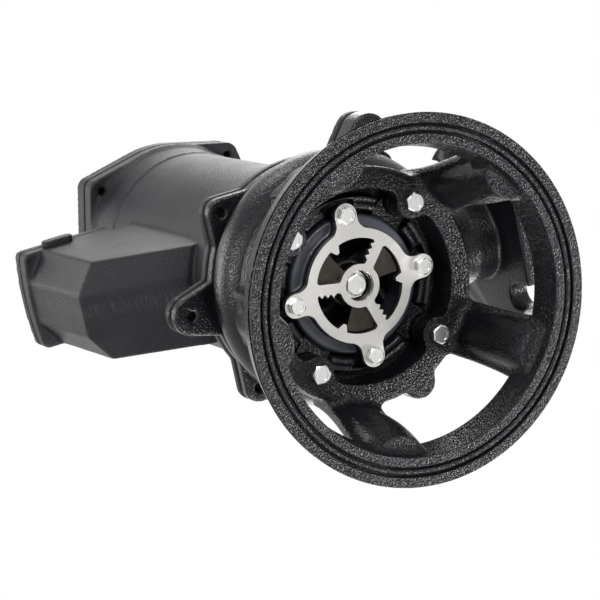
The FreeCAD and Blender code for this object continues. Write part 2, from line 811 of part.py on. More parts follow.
def seal_housing():
    """The wall between pump and motor: oil chamber, two seal seats and the lower bearing pocket."""
    body = revolve([(0, seal_floor_z), (seal_spigot_r, seal_floor_z), (seal_spigot_r, joint_top_z),
                    (seal_collar_r, joint_top_z), (seal_collar_r, seal_collar_top_z),
                    (housing_bore_r - bore_gap, seal_collar_top_z), (seal_hub_r, seal_collar_top_z + 4),
                    (seal_neck_r, lower_bearing_z),
                    (seal_neck_r, lower_bearing_top_z), (0, lower_bearing_top_z)])
    voids = [cylinder(seal_shaft_bore_r, seal_floor_z - 1, lower_bearing_top_z),
             cylinder(seal_seat_r, oil_floor_z - seal_seat_depth, oil_floor_z + 1),
             cylinder(oil_chamber_r, oil_floor_z, oil_top_z - 6),
             Part.makeCone(oil_chamber_r, seal_seat_r, 6, Vec(0, 0, oil_top_z - 6)),
             cylinder(seal_seat_r, oil_top_z - 1, upper_seat_z),
             cylinder(lower_bearing_r, lower_bearing_z, lower_bearing_top_z + 1)]
    return body.cut(fuse(voids))


def seal_seat(low):
    return tube(seal_seat_r, shaft_seal_r + bore_gap, low, low + seal_seat_depth)


def seal_head(low, high, facing):
    """The turning half of a shaft seal: carbon ring, bellows and spring collar in one outline."""
    inner = shaft_seal_r
    length = high - low
    profile = [(inner, 0), (seal_ring_r - 2, 0), (seal_ring_r - 2, 2.5), (seal_ring_r, 2.5), (seal_ring_r, 6.5),
               (seal_ring_r - 2.2, 7.5), (seal_ring_r - 2.2, length - 2), (seal_ring_r, length - 2),
               (seal_ring_r, length), (inner, length)]
    if facing < 0:
        return revolve([(r, low + z) for r, z in profile])
    return revolve([(r, high - z) for r, z in profile])


def bearing(outer_r, inner_r, low, high):
    """A shielded ball bearing as its outer ring with shields, and its inner ring."""
    outer = tube(outer_r, outer_r - bearing_race, low, high)
    mid_r = inner_r + bearing_race + bore_gap
    shields = [tube(outer_r - bearing_race, mid_r, low + 0.8, low + 1.6),
               tube(outer_r - bearing_race, mid_r, high - 1.6, high - 0.8)]
    inner = tube(inner_r + bearing_race, inner_r, low, high)
    return fuse([outer] + shields), inner


def wave_spring():
    outer = upper_bearing_r - 0.6
    return tube(outer, outer - wave_spring_inset, upper_bearing_top_z, cap_z)


# Shaft line


def shaft():
    steps = [(shaft_impeller_r, shaft_low_z, impeller_top_z), (shaft_seal_r, impeller_top_z, lower_bearing_z - 1),
             (shaft_bearing_r, lower_bearing_z - 1, lower_bearing_top_z),
             (shaft_rotor_r, lower_bearing_top_z, stator_z + stator_length + end_ring_height + 6),
             (shaft_upper_r, stator_z + stator_length + end_ring_height + 6, shaft_top_z)]
    body = fuse([cylinder(radius, low, high) for radius, low, high in steps])
    thread = cylinder(centre_bolt_r, shaft_low_z - 1, washer_z + centre_bolt_length + 1)
    return body.cut(thread).cut(key_shape())


def key_shape():
    low = impeller_top_z - 4 - key_length
    return block(shaft_impeller_r - key_width / 2, shaft_impeller_r + key_width / 2, -key_width / 2,
                 key_width / 2, low, low + key_length)


def impeller_vane():
    """A swept-back vane: a run of short arcs thickened, from hub to rim."""
    steps = 7
    half = impeller_vane_thickness / 2
    left, right = [], []
    for i in range(steps):
        share = i / (steps - 1)
        radius = impeller_hub_r - 2 + share * (impeller_r - 1 - impeller_hub_r + 2)
        angle = impeller_vane_sweep * share ** 0.8
        offset = math.degrees(half / radius)
        left.append(polar(radius, angle + offset))
        right.append(polar(radius, angle - offset))
    points = [(p.x, p.y) for p in left + right[::-1]]
    return prism(points, impeller_vane_z, impeller_shroud_z)


def impeller():
    vanes = around(impeller_vane(), [360 / impeller_vane_count * i for i in range(impeller_vane_count)])
    shroud = cylinder(impeller_r, impeller_shroud_z, impeller_shroud_z + impeller_shroud)
    hub = cylinder(impeller_hub_r, cutter_hub_end_z, impeller_top_z)
    wheel = fuse([hub, shroud] + vanes)
    return wheel.cut(cylinder(shaft_impeller_r, cutter_hub_end_z - 1, impeller_top_z + 1)).cut(key_shape())


def rotor_core():
    high = stator_z + stator_length
    core = tube(rotor_r, shaft_rotor_r, stator_z, high)
    rings = [tube(end_ring_r, end_ring_r - 9, stator_z - end_ring_height, stator_z),
             tube(end_ring_r, end_ring_r - 9, high, high + end_ring_height)]
    return fuse([core] + rings)


def stator_core():
    high = stator_z + stator_length
    core = tube(stator_r, stator_bore_r, stator_z, high)
    slot = block(stator_bore_r + slot_lip, stator_bore_r + slot_lip + slot_depth, -slot_width / 2, slot_width / 2,
                 stator_z - 1, high + 1)
    mouth = block(stator_bore_r - 2, stator_bore_r + 4, -1.2, 1.2, stator_z - 1, high + 1)
    return core.cut(fuse(around(slot.fuse(mouth), [360 / slot_count * i for i in range(slot_count)])))


def stator_windings():
    high = stator_z + stator_length
    coil = block(stator_bore_r + 2 * slot_lip + running_gap, stator_bore_r + slot_lip + slot_depth - running_gap,
                 running_gap - slot_width / 2, slot_width / 2 - running_gap, stator_z, high)
    coils = around(coil, [360 / slot_count * i for i in range(slot_count)])
    turns = []
    for low, top in ((stator_z - winding_height, stator_z), (high, high + winding_height)):
        ring = tube(winding_outer_r, winding_inner_r, low, top)
        far = low if low < stator_z else top
        edge_r = min(winding_edge_r, (winding_outer_r - winding_inner_r) * 0.4)
        turns.append(ring.makeFillet(edge_r, level_edges(ring, far)))
    return fuse(turns + coils)


# Motor housing with its side box


def box_section(z, side_x, nose_x, inset=0.0):
    half = box_half_width - inset
    nose = box_nose_half_width - inset * 0.4
    points = [(box_root_x, half), (side_x + inset, half), (nose_x + inset, nose), (nose_x + inset, -nose),
              (side_x + inset, -half), (box_root_x, -half)]
    corners = [Vec(x, y, z) for x, y in points]
    return Part.makePolygon(corners + corners[:1])


def box_body():
    """The side box: it swells out of the flare, then rises with chamfered corners to its lip."""
    lower = Part.makeLoft([box_section(box_low_z, box_low_side_x, box_low_nose_x),
                           box_section(box_mid_z, box_mid_side_x, box_mid_nose_x)], True, True)
    upper = Part.makeLoft([box_section(box_mid_z, box_mid_side_x, box_mid_nose_x),
                           box_section(box_top_z, box_top_side_x, box_top_nose_x)], True, True)
    return lower.fuse(upper).removeSplitter()


def box_hollow():
    rise = box_wall
    lower = Part.makeLoft([box_section(box_low_z + 4 * rise, box_low_side_x - 8, box_low_nose_x - 8, box_wall),
                           box_section(box_mid_z + rise, box_mid_side_x, box_mid_nose_x, box_wall)], True, True)
    upper = Part.makeLoft([box_section(box_mid_z + rise, box_mid_side_x, box_mid_nose_x, box_wall),
                           box_section(box_top_z, box_top_side_x, box_top_nose_x, box_wall)], True, True)
    throat = block(box_top_side_x + box_wall, box_root_x, box_wall - box_half_width, box_half_width - box_wall,
                   box_top_z, box_lip_top_z + 1)
    return lower.fuse([upper, throat])


def lip_outline(low, high, inset=0.0):
    """The bowed rectangle that the lip, gasket and cover of the side box share."""
    half = box_half_width - inset
    outer = box_lip_x + inset
    inner = box_lip_inner_x
    start, end = Vec(outer + box_lip_bow, half, low), Vec(outer + box_lip_bow, -half, low)
    bow = Part.Arc(start, Vec(outer, 0, low), end).toShape()
    back = [Vec(inner, -half, low), Vec(inner, half, low)]
    lines = [Part.LineSegment(end, back[0]).toShape(), Part.LineSegment(back[0], back[1]).toShape(),
             Part.LineSegment(back[1], start).toShape()]
    solid = Part.Face(Part.Wire([bow] + lines)).extrude(Vec(0, 0, high - low))
    return solid.makeFillet(box_lip_corner_r, upright_edges(solid, [start, end], 1.0))


def box_screw_places():
    near_x = box_lip_inner_x - box_screw_inset
    far_x = box_lip_x + box_lip_bow + box_screw_inset
    across = box_half_width - box_screw_inset
    return [Vec(x, side * across, 0) for x in (near_x, far_x) for side in (-1, 1)]


def cap_outline(low, high, inset=0.0):
    return fuse([cylinder(cap_flange_round_r - inset, low, high),
                 round_square(cap_flange_half - inset, cap_flange_corner_r, low, high)])


def cap_screw_places():
    half = cap_screw_spacing / 2
    return [Vec(x * half, y * half, 0) for x in (-1, 1) for y in (-1, 1)]


def housing_shell():
    """The turned outside of the motor housing: flare, barrel, bead and collar."""
    flare_top = motor_flange_top_z + flare_height
    bottom = Vec(flare_r, 0, motor_flange_top_z)
    waist = Vec(flare_waist_r, 0, motor_flange_top_z + flare_waist_rise)
    top = Vec(housing_r, 0, flare_top)
    flare = Part.Arc(bottom, waist, top).toShape()
    collar_low = Vec(housing_r, 0, bead_z + bead_r)
    collar = Part.Arc(collar_low, Vec(housing_r + 0.8, 0, (bead_z + collar_z) / 2), Vec(collar_r, 0, collar_z)).toShape()
    root = Vec(collar_r + cap_flange_root, 0, cap_flange_z)
    outer = [Vec(0, 0, cap_flange_z), Vec(0, 0, motor_flange_top_z)]
    edges = [flare, Part.makeLine(top, collar_low), collar, Part.makeLine(Vec(collar_r, 0, collar_z), root),
             Part.makeLine(root, outer[0]), Part.makeLine(outer[0], outer[1]), Part.makeLine(outer[1], bottom)]
    shell = Part.Face(Part.Wire(Part.__sortEdges__(edges))).revolve(Vec(0, 0, 0), UP, 360)
    bead = Part.makeTorus(housing_r, bead_r, Vec(0, 0, bead_z))
    return shell.fuse(bead)


def motor_housing():
    flange = joint_outline(motor_flange_z, motor_flange_top_z)
    top_flange = cap_outline(cap_flange_z, cap_flange_top_z)
    lip = lip_outline(box_top_z, box_lip_top_z).cut(cylinder(housing_r - 2, box_top_z - 1, box_lip_top_z + 1))
    body = fuse([flange, housing_shell(), box_body(), top_flange, lip])
    bore = cylinder(housing_bore_r, seal_collar_top_z, cap_flange_top_z + 1)
    collar_seat = cylinder(seal_collar_r + seat_gap, motor_flange_z - 1, seal_collar_top_z)
    box_void = box_hollow().cut(cylinder(housing_r + 1, 0, 500))
    port = Part.makeCylinder(wire_port_r, 2 * box_wall + 4, Vec(-housing_r - box_wall - 2, 0, box_top_z - 30),
                             Vec(1, 0, 0))
    body = body.cut(bore).cut(collar_seat).cut(box_void).cut(port)
    holes = [cylinder(joint_bolt_r + seat_gap, motor_flange_z - 1, motor_flange_top_z, at)
             for at in joint_bolt_places()]
    holes += [cylinder(cap_screw_hole_r, cap_flange_z - 1, cap_flange_top_z + 1, at) for at in cap_screw_places()]
    holes += [cylinder(box_screw_r, box_lip_top_z - 10, box_lip_top_z + 1, at) for at in box_screw_places()]
    seats = [cylinder(joint_bolt_flats / 2 * 1.25, motor_flange_top_z, motor_flange_top_z + 8, at)
             for at in joint_bolt_places()]
    return body.cut(fuse(holes)).cut(fuse(seats))


def cap_gasket_ring():
    ring = cap_outline(cap_flange_top_z, cap_z, cap_gasket_inset)
    holes = [cylinder(cap_spigot_r + seat_gap, cap_flange_top_z - 1, cap_z + 1)]
    holes += [cylinder(cap_screw_hole_r, cap_flange_top_z - 1, cap_z + 1, at) for at in cap_screw_places()]
    return ring.cut(fuse(holes))


def motor_cap():
    """The upper cap: plate, shallow dome, spigot and the pocket of the upper bearing."""
    plate = cap_outline(cap_z, cap_top_z)
    dome = Part.makeCone(cap_dome_r, cap_dome_r - 8, cap_dome_height, Vec(0, 0, cap_top_z))
    dome = dome.makeFillet(cap_dome_fillet, level_edges(dome, cap_dome_z))
    pads = [cylinder(handle_pad_r, cap_top_z, cap_dome_z - 1, Vec(0, side * handle_half_span, 0))
            for side in (-1, 1)]
    spigot = tube(cap_spigot_r, cap_spigot_r - 8, cap_z - cap_spigot_depth, cap_z)
    boss = cylinder(cap_boss_r, upper_bearing_z, cap_z)
    cap = fuse([plate, dome, spigot, boss] + pads)
    pocket = cylinder(upper_bearing_r, upper_bearing_z - 1, cap_z)
    holes = [cylinder(cap_screw_r + seat_gap, cap_z - 1, cap_top_z + 1, at) for at in cap_screw_places()]
    return cap.cut(pocket).cut(fuse(holes))


def cap_screws():
    length = cap_top_z - cap_flange_z - cap_screw_recess
    return [hex_bolt(at, cap_top_z, -1, cap_screw_flats, cap_screw_head, cap_screw_r, length)
            for at in cap_screw_places()]


def lifting_handle():
    """A round bail: two legs, two bends and a grip, with its legs ending in pads on the cap."""
    foot_z = cap_dome_z
    top = foot_z + handle_rise
    span = handle_half_span
    bend = handle_bend_r
    slant = bend * (1 - math.sqrt(0.5))
    edges = []
    for side in (1, -1):
        knee = Vec(0, side * span, top - bend)
        turn = Vec(0, side * (span - bend), top)
        edges.append(Part.makeLine(Vec(0, side * span, foot_z), knee))
        edges.append(Part.Arc(knee, Vec(0, side * (span - slant), top - slant), turn).toShape())
    edges.append(Part.makeLine(Vec(0, span - bend, top), Vec(0, bend - span, top)))
    path = Part.Wire(Part.__sortEdges__(edges))
    start = path.OrderedVertexes[0].Point
    section = Part.Wire(Part.Circle(start, UP, handle_rod_r).toShape())
    rod = path.makePipeShell([section], True, False)
    feet = [cylinder(handle_pad_r - 2, foot_z, foot_z + 4, Vec(0, side * span, 0)) for side in (-1, 1)]
    return fuse([rod] + feet)


def box_cover_gasket():
    ring = lip_outline(box_lip_top_z, box_cover_z, box_gasket_inset)
    inner = block(box_top_side_x + box_wall, box_lip_inner_x - 2, box_wall - box_half_width,
                  box_half_width - box_wall, box_lip_top_z - 1, box_cover_z + 1)
    holes = [cylinder(box_screw_r + seat_gap, box_lip_top_z - 1, box_cover_z + 1, at)
             for at in box_screw_places()]
    bosses = [cylinder(box_screw_r + 3, box_lip_top_z, box_cover_z, at) for at in box_screw_places()]
    ring = fuse([ring.cut(inner).cut(cylinder(collar_r + 1, 0, 500))] + bosses)
    return ring.cut(fuse(holes))


def box_cover():
    cover = lip_outline(box_cover_z, box_cover_top_z)
    cover = cover.cut(cylinder(collar_r + 1, 0, 500))
    holes = [cylinder(box_screw_r + seat_gap, box_cover_z - 1, box_cover_top_z + 1, at)
             for at in box_screw_places()]
    holes.append(cylinder(gland_seal_r + 1.5, box_cover_z - 1, box_cover_top_z + 1, Vec(gland_x, 0, 0)))
    return cover.cut(fuse(holes))


def box_cover_screws():
    screws = []
    for at in box_screw_places():
        shank = cylinder(box_screw_r, box_lip_top_z - 9, box_cover_top_z, at)
        head = cylinder(box_screw_head_r, box_cover_top_z, box_cover_top_z + box_screw_head, at)
        head = head.makeFillet(1.2, level_edges(head, box_cover_top_z + box_screw_head))
        slot = block(at.x - 5, at.x + 5, at.y - 0.6, at.y + 0.6, box_cover_top_z + 1.2, box_cover_top_z + 4)
        screws.append(shank.fuse(head).cut(slot))
    return screws


def side_plug():
    """A low oblong plug on the side wall of the box, just under the cover."""
    half = (side_plug_length - side_plug_width) / 2
    end_r = side_plug_width / 2
    z = box_lip_top_z - side_plug_drop
    y = -box_half_width - side_plug_rise
    ends = [Part.makeCylinder(end_r, side_plug_rise, Vec(side_plug_x + side * half, y, z), Vec(0, 1, 0))
            for side in (-1, 1)]
    middle = block(side_plug_x - half, side_plug_x + half, y, y + side_plug_rise, z - end_r, z + end_r)
    plug = fuse(ends + [middle])
    outer = [edge for edge in plug.Edges if abs(edge.BoundBox.YMax - y) < 0.01]
    return plug.makeFillet(1.2, outer)


def gland_body():
    at = Vec(gland_x, 0, 0)
    body = cylinder(gland_body_r, box_cover_top_z, box_cover_top_z + gland_body_height, at)
    body = body.makeFillet(2, level_edges(body, box_cover_top_z + gland_body_height))
    stem = cylinder(gland_seal_r + 1.3, box_cover_z, box_cover_top_z, at)
    return body.fuse(stem).cut(cylinder(gland_seal_r, 0, 500, at))


def gland_nut():
    at = Vec(gland_x, 0, 0)
    low = box_cover_top_z + gland_body_height
    nut = hexagon(gland_nut_flats, low, low + gland_nut_height, at)
    return nut.cut(cylinder(gland_cable_r + 1, 0, 500, at))


def gland_bushing():
    at = Vec(gland_x, 0, 0)
    high = box_cover_top_z + gland_body_height
    return tube(gland_seal_r - 0.2, gland_cable_r, box_cover_z, high, at)


# Start gear inside the side box


def gear_shelf():
    """The shelf that spans the box and carries the start gear, notched for the wires below it."""
    slab = block(box_mid_nose_x, -housing_r - 1, -box_half_width, box_half_width, shelf_z, shelf_z + shelf_thickness)
    shelf = slab.common(box_hollow()).cut(cylinder(housing_r + 1, 0, 500))
    return shelf.cut(cylinder(wire_port_r, 0, 500, Vec(-housing_r - 1, 0, 0)))


def capacitor(y):
    at = Vec(capacitor_x, y, 0)
    low = shelf_z + shelf_thickness
    can = cylinder(capacitor_r - 1.5, low, low + capacitor_length, at)
    can = can.makeFillet(2, level_edges(can, low + capacitor_length))
    studs = [cylinder(2, low + capacitor_length, low + capacitor_length + 7,
                      Vec(at.x + side * 6, at.y, 0)) for side in (-1, 1)]
    return fuse([can] + studs)


def start_relay():
    low = shelf_z + shelf_thickness
    return block(relay_x - relay_width / 2, relay_x + relay_width / 2, -relay_length / 2, relay_length / 2,
                 low, low + relay_height)


def build_all():
    lower_outer, lower_inner = bearing(lower_bearing_r, shaft_bearing_r, lower_bearing_z, lower_bearing_top_z)
    upper_outer, upper_inner = bearing(upper_bearing_r, shaft_upper_r, upper_bearing_z, upper_bearing_top_z)
    lower_seat_z = oil_floor_z - seal_seat_depth
    seal_mid_z = (oil_floor_z + oil_top_z) / 2
    return {
        "leg_stand": leg_stand(),
        "stand_bolts": stand_bolts(),
        "suction_cover": suction_cover(),
        "cutter_plate": cutter_plate(),
        "cutter_plate_screws": cutter_plate_screws(),
        "rotating_cutter": rotating_cutter(),
        "cutter_washer": cutter_washer(),
        "cutter_bolt": cutter_bolt(),
        "volute_casing": volute_casing(),
        "joint_gasket": joint_gasket_ring(),
        "joint_bolts": joint_bolts(),
        "seal_housing": seal_housing(),
        "lower_seal_seat": seal_seat(lower_seat_z),
        "lower_seal_head": seal_head(oil_floor_z + running_gap, seal_mid_z, -1),
        "upper_seal_seat": seal_seat(oil_top_z),
        "upper_seal_head": seal_head(seal_mid_z, oil_top_z - running_gap, 1),
        "lower_bearing_outer_ring": lower_outer,
        "lower_bearing_inner_ring": lower_inner,
        "upper_bearing_outer_ring": upper_outer,
        "upper_bearing_inner_ring": upper_inner,
        "wave_spring": wave_spring(),
        "shaft": shaft(),
        "impeller": impeller(),
        "impeller_key": key_shape(),
        "rotor_core": rotor_core(),
        "stator_core": stator_core(),
        "stator_windings": stator_windings(),
        "motor_housing": motor_housing(),
        "cap_gasket": cap_gasket_ring(),
        "motor_cap": motor_cap(),
        "cap_screws": cap_screws(),
        "lifting_handle": lifting_handle(),
        "box_cover_gasket": box_cover_gasket(),
        "box_cover": box_cover(),
        "box_cover_screws": box_cover_screws(),
        "box_side_plug": side_plug(),
        "cable_gland_body": gland_body(),
        "cable_gland_nut": gland_nut(),
        "cable_gland_bushing": gland_bushing(),
        "run_capacitor": capacitor(capacitor_r),
        "start_capacitor": capacitor(-capacitor_r),
        "start_relay": start_relay(),
        "start_gear_shelf": gear_shelf(),
    }


def main():
    os.makedirs("parts", exist_ok=True)
    for name, shape in build_all().items():
        if isinstance(shape, list):
            shape = Part.makeCompound(shape)
        shape.exportStep(os.path.join("parts", name + ".step"))
        print(name, len(shape.Solids), "valid" if shape.isValid() else "INVALID", round(shape.Volume))


main()
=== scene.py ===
import json
import math

import bpy
from mathutils import Matrix, Vector

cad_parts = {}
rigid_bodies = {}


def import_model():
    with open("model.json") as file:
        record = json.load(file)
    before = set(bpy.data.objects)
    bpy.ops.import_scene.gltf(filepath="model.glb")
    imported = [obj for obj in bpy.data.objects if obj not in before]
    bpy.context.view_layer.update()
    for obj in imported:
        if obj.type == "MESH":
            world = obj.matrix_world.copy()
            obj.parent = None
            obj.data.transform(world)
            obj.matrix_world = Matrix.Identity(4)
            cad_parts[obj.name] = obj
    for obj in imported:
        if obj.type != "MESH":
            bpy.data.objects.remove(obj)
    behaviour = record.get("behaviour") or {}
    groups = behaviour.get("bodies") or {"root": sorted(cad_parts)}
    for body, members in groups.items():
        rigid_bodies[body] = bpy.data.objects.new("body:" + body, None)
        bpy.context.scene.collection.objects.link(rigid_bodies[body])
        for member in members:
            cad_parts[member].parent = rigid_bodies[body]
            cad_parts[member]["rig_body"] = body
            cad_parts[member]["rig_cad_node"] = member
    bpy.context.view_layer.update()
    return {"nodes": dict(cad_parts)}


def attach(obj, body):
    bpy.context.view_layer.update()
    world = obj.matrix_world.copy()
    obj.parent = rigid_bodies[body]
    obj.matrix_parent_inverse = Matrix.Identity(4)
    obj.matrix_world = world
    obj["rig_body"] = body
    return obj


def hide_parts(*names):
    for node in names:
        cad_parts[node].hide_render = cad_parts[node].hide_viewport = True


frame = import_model()

MM = 0.001
BODY = "pump_body"
ROTOR = "rotor"
MOST_TRIANGLES = 180000

# Sizes in millimetres, in the pump's frame: shaft on Z, foot ring on z = 0, discharge towards +X
RING_OUTER, RING_INNER, RING_HEIGHT = 127.0, 106.0, 24.0
RING_TOP_OUTER, RING_TOP_INNER = 120.5, 102.5
GROOVE_OUTER, GROOVE_INNER, GROOVE_DEPTH = 119.7, 112.7, 4.0
BEAD_R, BEAD_HEIGHT = 2.0, 2.3

# The square plate that cap and housing share, and its height on each of them
CAP_DISC_R, CAP_LOBE_R, CAP_BORE_R, CAP_HOLE_R = 77.8, 10.7, 66.0, 3.4
CAP_BOLT_AT = 56.3
CAP_PLATES = {"motor_housing": (404.0, 417.0), "motor_cap": (418.0, 432.5)}

# Where two castings meet at a gasket, their faces stand back a little and leave a dark line
JOINT_FACES = {"volute_casing": ((158.5, -1.1),), "motor_housing": ((159.5, 1.1), (417.0, -0.6)),
               "motor_cap": ((418.0, 0.6),)}
JOINT_REACH, JOINT_FROM_R = 1.2, 68.0

# The side box between barrel and lip, and the places where castings are left coarse
BOX_FROM_X, BOX_LOW, BOX_HIGH = -79.0, 196.0, 334.0
COVER_ARMS_FROM_R = 50.6
STAND_PLATE_LOW, STAND_PLATE_R = 77.0, 98.0
SCROLL_RIM_LOW, SCROLL_RIM_HIGH, SCROLL_RIM_R = 106.0, 112.0, 78.0

# Bolts: across flats, head height and shank radius, then their circles and their seats' heights
STAND_BOLT = (12.7, 5.3, 3.95)
SMALL_BOLT = (11.1, 4.3, 3.1)
CENTRE_BOLT = (14.3, 5.2, 4.75)
STAND_CIRCLE_R, PLATE_CIRCLE_R = 69.0, 51.4
STAND_SEAT, PLATE_SEAT, CENTRE_SEAT, JOINT_SEAT, CAP_SEAT = 80.0, 89.0, 98.3, 168.0, 432.5


# Modelling helpers

def only(obj):
    """Leaves this one object selected and active, in object mode."""
    if bpy.context.object and bpy.context.object.mode != "OBJECT":
        bpy.ops.object.mode_set(mode="OBJECT")
    bpy.ops.object.select_all(action="DESELECT")
    obj.select_set(True)
    bpy.context.view_layer.objects.active = obj


def leave_edit():
    bpy.ops.object.mode_set(mode="OBJECT")


def place_into_mesh(obj):
    only(obj)
    bpy.ops.object.transform_apply(location=True, rotation=True, scale=True)


def apply_modifier(obj, kind, **settings):
    only(obj)
    modifier = obj.modifiers.new(kind.title(), kind)
    for key, value in settings.items():
        setattr(modifier, key, value)
    bpy.ops.object.modifier_apply(modifier=modifier.name)


def break_edges(obj, width, segments, sharper_than):
    """Bevels the edges that turn by more than an angle in degrees."""
    apply_modifier(obj, "BEVEL", width=width * MM, segments=segments, limit_method="ANGLE",
                   angle_limit=math.radians(sharper_than))


def start_selection(obj, kind):
    only(obj)
    bpy.ops.object.mode_set(mode="EDIT")
    bpy.ops.mesh.select_mode(type=kind)
    bpy.ops.mesh.select_all(action="DESELECT")
    bpy.ops.object.mode_set(mode="OBJECT")


def select_faces(obj, wanted):
    """Edit mode with only the faces selected whose centre and normal the test accepts."""
    start_selection(obj, "FACE")
    for face in obj.data.polygons:
        face.select = bool(wanted(face.center, face.normal))
    bpy.ops.object.mode_set(mode="EDIT")


def select_points(obj, wanted):
    """Edit mode with only the vertices selected that the test accepts."""
    start_selection(obj, "VERT")
    for point in obj.data.vertices:
        point.select = bool(wanted(point.co))
    bpy.ops.object.mode_set(mode="EDIT")


def off_axis(point):
    """The distance of a point from the shaft's axis, in metres."""
    return math.hypot(point.x, point.y)


def polar(radius, angle):
    return radius * math.cos(math.radians(angle)), radius * math.sin(math.radians(angle))


def corners(reach):
    """The four corners of a square about the axis."""
    return [(x * reach, y * reach) for x in (-1, 1) for y in (-1, 1)]


def settle(obj, finish, body=BODY, smooth=None):
    """Finishes a piece: its place goes into its mesh, it gets the material of its finish and rides
    on its body.
    """
    material, slot_name = finish
    place_into_mesh(obj)
    obj.data.materials.clear()
    obj.data.materials.append(material)
    if smooth is None:
        bpy.ops.object.shade_smooth()
    else:
        bpy.ops.object.shade_smooth_by_angle(angle=math.radians(smooth))
        apply_modifier(obj, "WEIGHTED_NORMAL", keep_sharp=True)
    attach(obj, body)


def paint_part(obj, material, wanted):
    """Gives the faces whose centre the test accepts a second material."""
    obj.data.materials.append(material)
    for face in obj.data.polygons:
        if wanted(face.center):
            face.material_index = 1


def cylinder(radius, low, high, at=(0.0, 0.0), vertices=48):
    """A closed cylinder between two heights, in millimetres."""
    bpy.ops.mesh.primitive_cylinder_add(
        vertices=vertices, radius=radius * MM, depth=(high - low) * MM,
        location=(at[0] * MM, at[1] * MM, (low + high) / 2 * MM))
    place_into_mesh(bpy.context.object)
    return bpy.context.object


def combine(obj, other, operation):
    """A boolean of two closed meshes; the second one is used up."""
    apply_modifier(obj, "BOOLEAN", operation=operation, object=other, solver="EXACT")
    bpy.data.objects.remove(other)


def join(pieces, name):
    only(pieces[0])
    for piece in pieces[1:]:
        piece.select_set(True)
    bpy.ops.object.join()
    joined = bpy.context.object
    joined.name = name
    joined.data.name = name
    return joined


def own_copy(obj, place):
    """A copy with its own mesh, moved by the matrix."""
    copy = obj.copy()
    copy.data = obj.data.copy()
    bpy.context.scene.collection.objects.link(copy)
    copy.data.transform(place)
    return copy


def merged_copy(node, name):
    """A copy of a CAD node with its loose triangles joined up."""
    only(frame["nodes"][node])
    bpy.ops.object.duplicate()
    copy = bpy.context.object
    copy.name = name
    copy.data.name = name
    copy.parent = None
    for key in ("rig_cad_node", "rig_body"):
        del copy[key]
    bpy.ops.object.mode_set(mode="EDIT")
    bpy.ops.mesh.select_all(action="SELECT")
    bpy.ops.mesh.remove_doubles(threshold=0.01 * MM)
    leave_edit()
    return copy


def cast_skin(node, name, grain, passes, fillet=0.0, added=None, rounded=None):
    """A casting's skin: the node's shape with soft edges, and its inner corners filled to a radius.

    The fill comes from growing the shape by the radius, joining what then overlaps and shrinking it
    again. A closed mesh can be added to the shape, and the points that rounded accepts get a large
    radius. Grain and fillet are in metres.
    """
    skin = merged_copy(node, name)
    if added:
        skin = join([skin, added], name)
    apply_modifier(skin, "REMESH", mode="VOXEL", voxel_size=grain)
    if fillet:
        apply_modifier(skin, "DISPLACE", strength=fillet, mid_level=0.0)
        apply_modifier(skin, "REMESH", mode="VOXEL", voxel_size=grain)
        apply_modifier(skin, "SMOOTH", factor=0.5, iterations=2)
        apply_modifier(skin, "DISPLACE", strength=-fillet, mid_level=0.0)
    apply_modifier(skin, "SMOOTH", factor=0.5, iterations=passes)
    if rounded:
        select_points(skin, rounded)
        bpy.ops.mesh.vertices_smooth(factor=0.5, repeat=5)
        leave_edit()
    for face_z, way in JOINT_FACES.get(node, ()):
        select_points(skin, lambda point: abs(point.z / MM - face_z) < JOINT_REACH
                      and off_axis(point) > JOINT_FROM_R * MM)
        bpy.ops.transform.translate(value=(0, 0, way * MM))
        leave_edit()
    triangles = 2 * len(skin.data.polygons)
    if triangles > MOST_TRIANGLES:
        apply_modifier(skin, "DECIMATE", ratio=MOST_TRIANGLES / triangles)
    return skin


# Shader helpers

def put(tree, kind, **settings):
    node = tree.nodes.new(kind)
    for key, value in settings.items():
        setattr(node, key, value)
    return node


def new_group(name, inputs, outputs):
    """A shader group of plain values, with the nodes that hold its inputs and its outputs."""
    group = bpy.data.node_groups.new(name, "ShaderNodeTree")
    for label, default in inputs.items():
        socket = group.interface.new_socket(label, in_out="INPUT", socket_type="NodeSocketFloat")
        socket.default_value = default
    for label in outputs:
        group.interface.new_socket(label, in_out="OUTPUT", socket_type="NodeSocketFloat")
    return group, put(group, "NodeGroupInput"), put(group, "NodeGroupOutput")


def object_place(tree):
    return put(tree, "ShaderNodeTexCoord").outputs["Object"]


def math_node(tree, operation, first, second=None, clamp=False):
    node = put(tree, "ShaderNodeMath", operation=operation, use_clamp=clamp)
    for socket, value in zip(node.inputs, (first, second)):
        if value is None:
            continue
        if isinstance(value, (int, float)):
            socket.default_value = value
        else:
            tree.links.new(value, socket)
    return node.outputs[0]


def times(tree, first, second, clamp=False):
    return math_node(tree, "MULTIPLY", first, second, clamp)


def span(tree, value, low, high, out_low, out_high):
    """Maps a value from one range to another, clamped."""
    node = put(tree, "ShaderNodeMapRange")
    tree.links.new(value, node.inputs["Value"])
    for label, number in (("From Min", low), ("From Max", high),
                          ("To Min", out_low), ("To Max", out_high)):
        node.inputs[label].default_value = number
    return node.outputs["Result"]


def rise(tree, value, low, high):
    """0 up to the low value, 1 from the high value on, and even between them."""
    return span(tree, value, low, high, 0.0, 1.0)


def fall(tree, value, low, high):
    """1 up to the low value, 0 from the high value on, and even between them."""
    return span(tree, value, low, high, 1.0, 0.0)


def noise(tree, where, scale, detail=2.0, distortion=0.0):
    node = put(tree, "ShaderNodeTexNoise")
    node.inputs["Scale"].default_value = scale
    node.inputs["Detail"].default_value = detail
    node.inputs["Distortion"].default_value = distortion
    tree.links.new(where, node.inputs["Vector"])
    return node


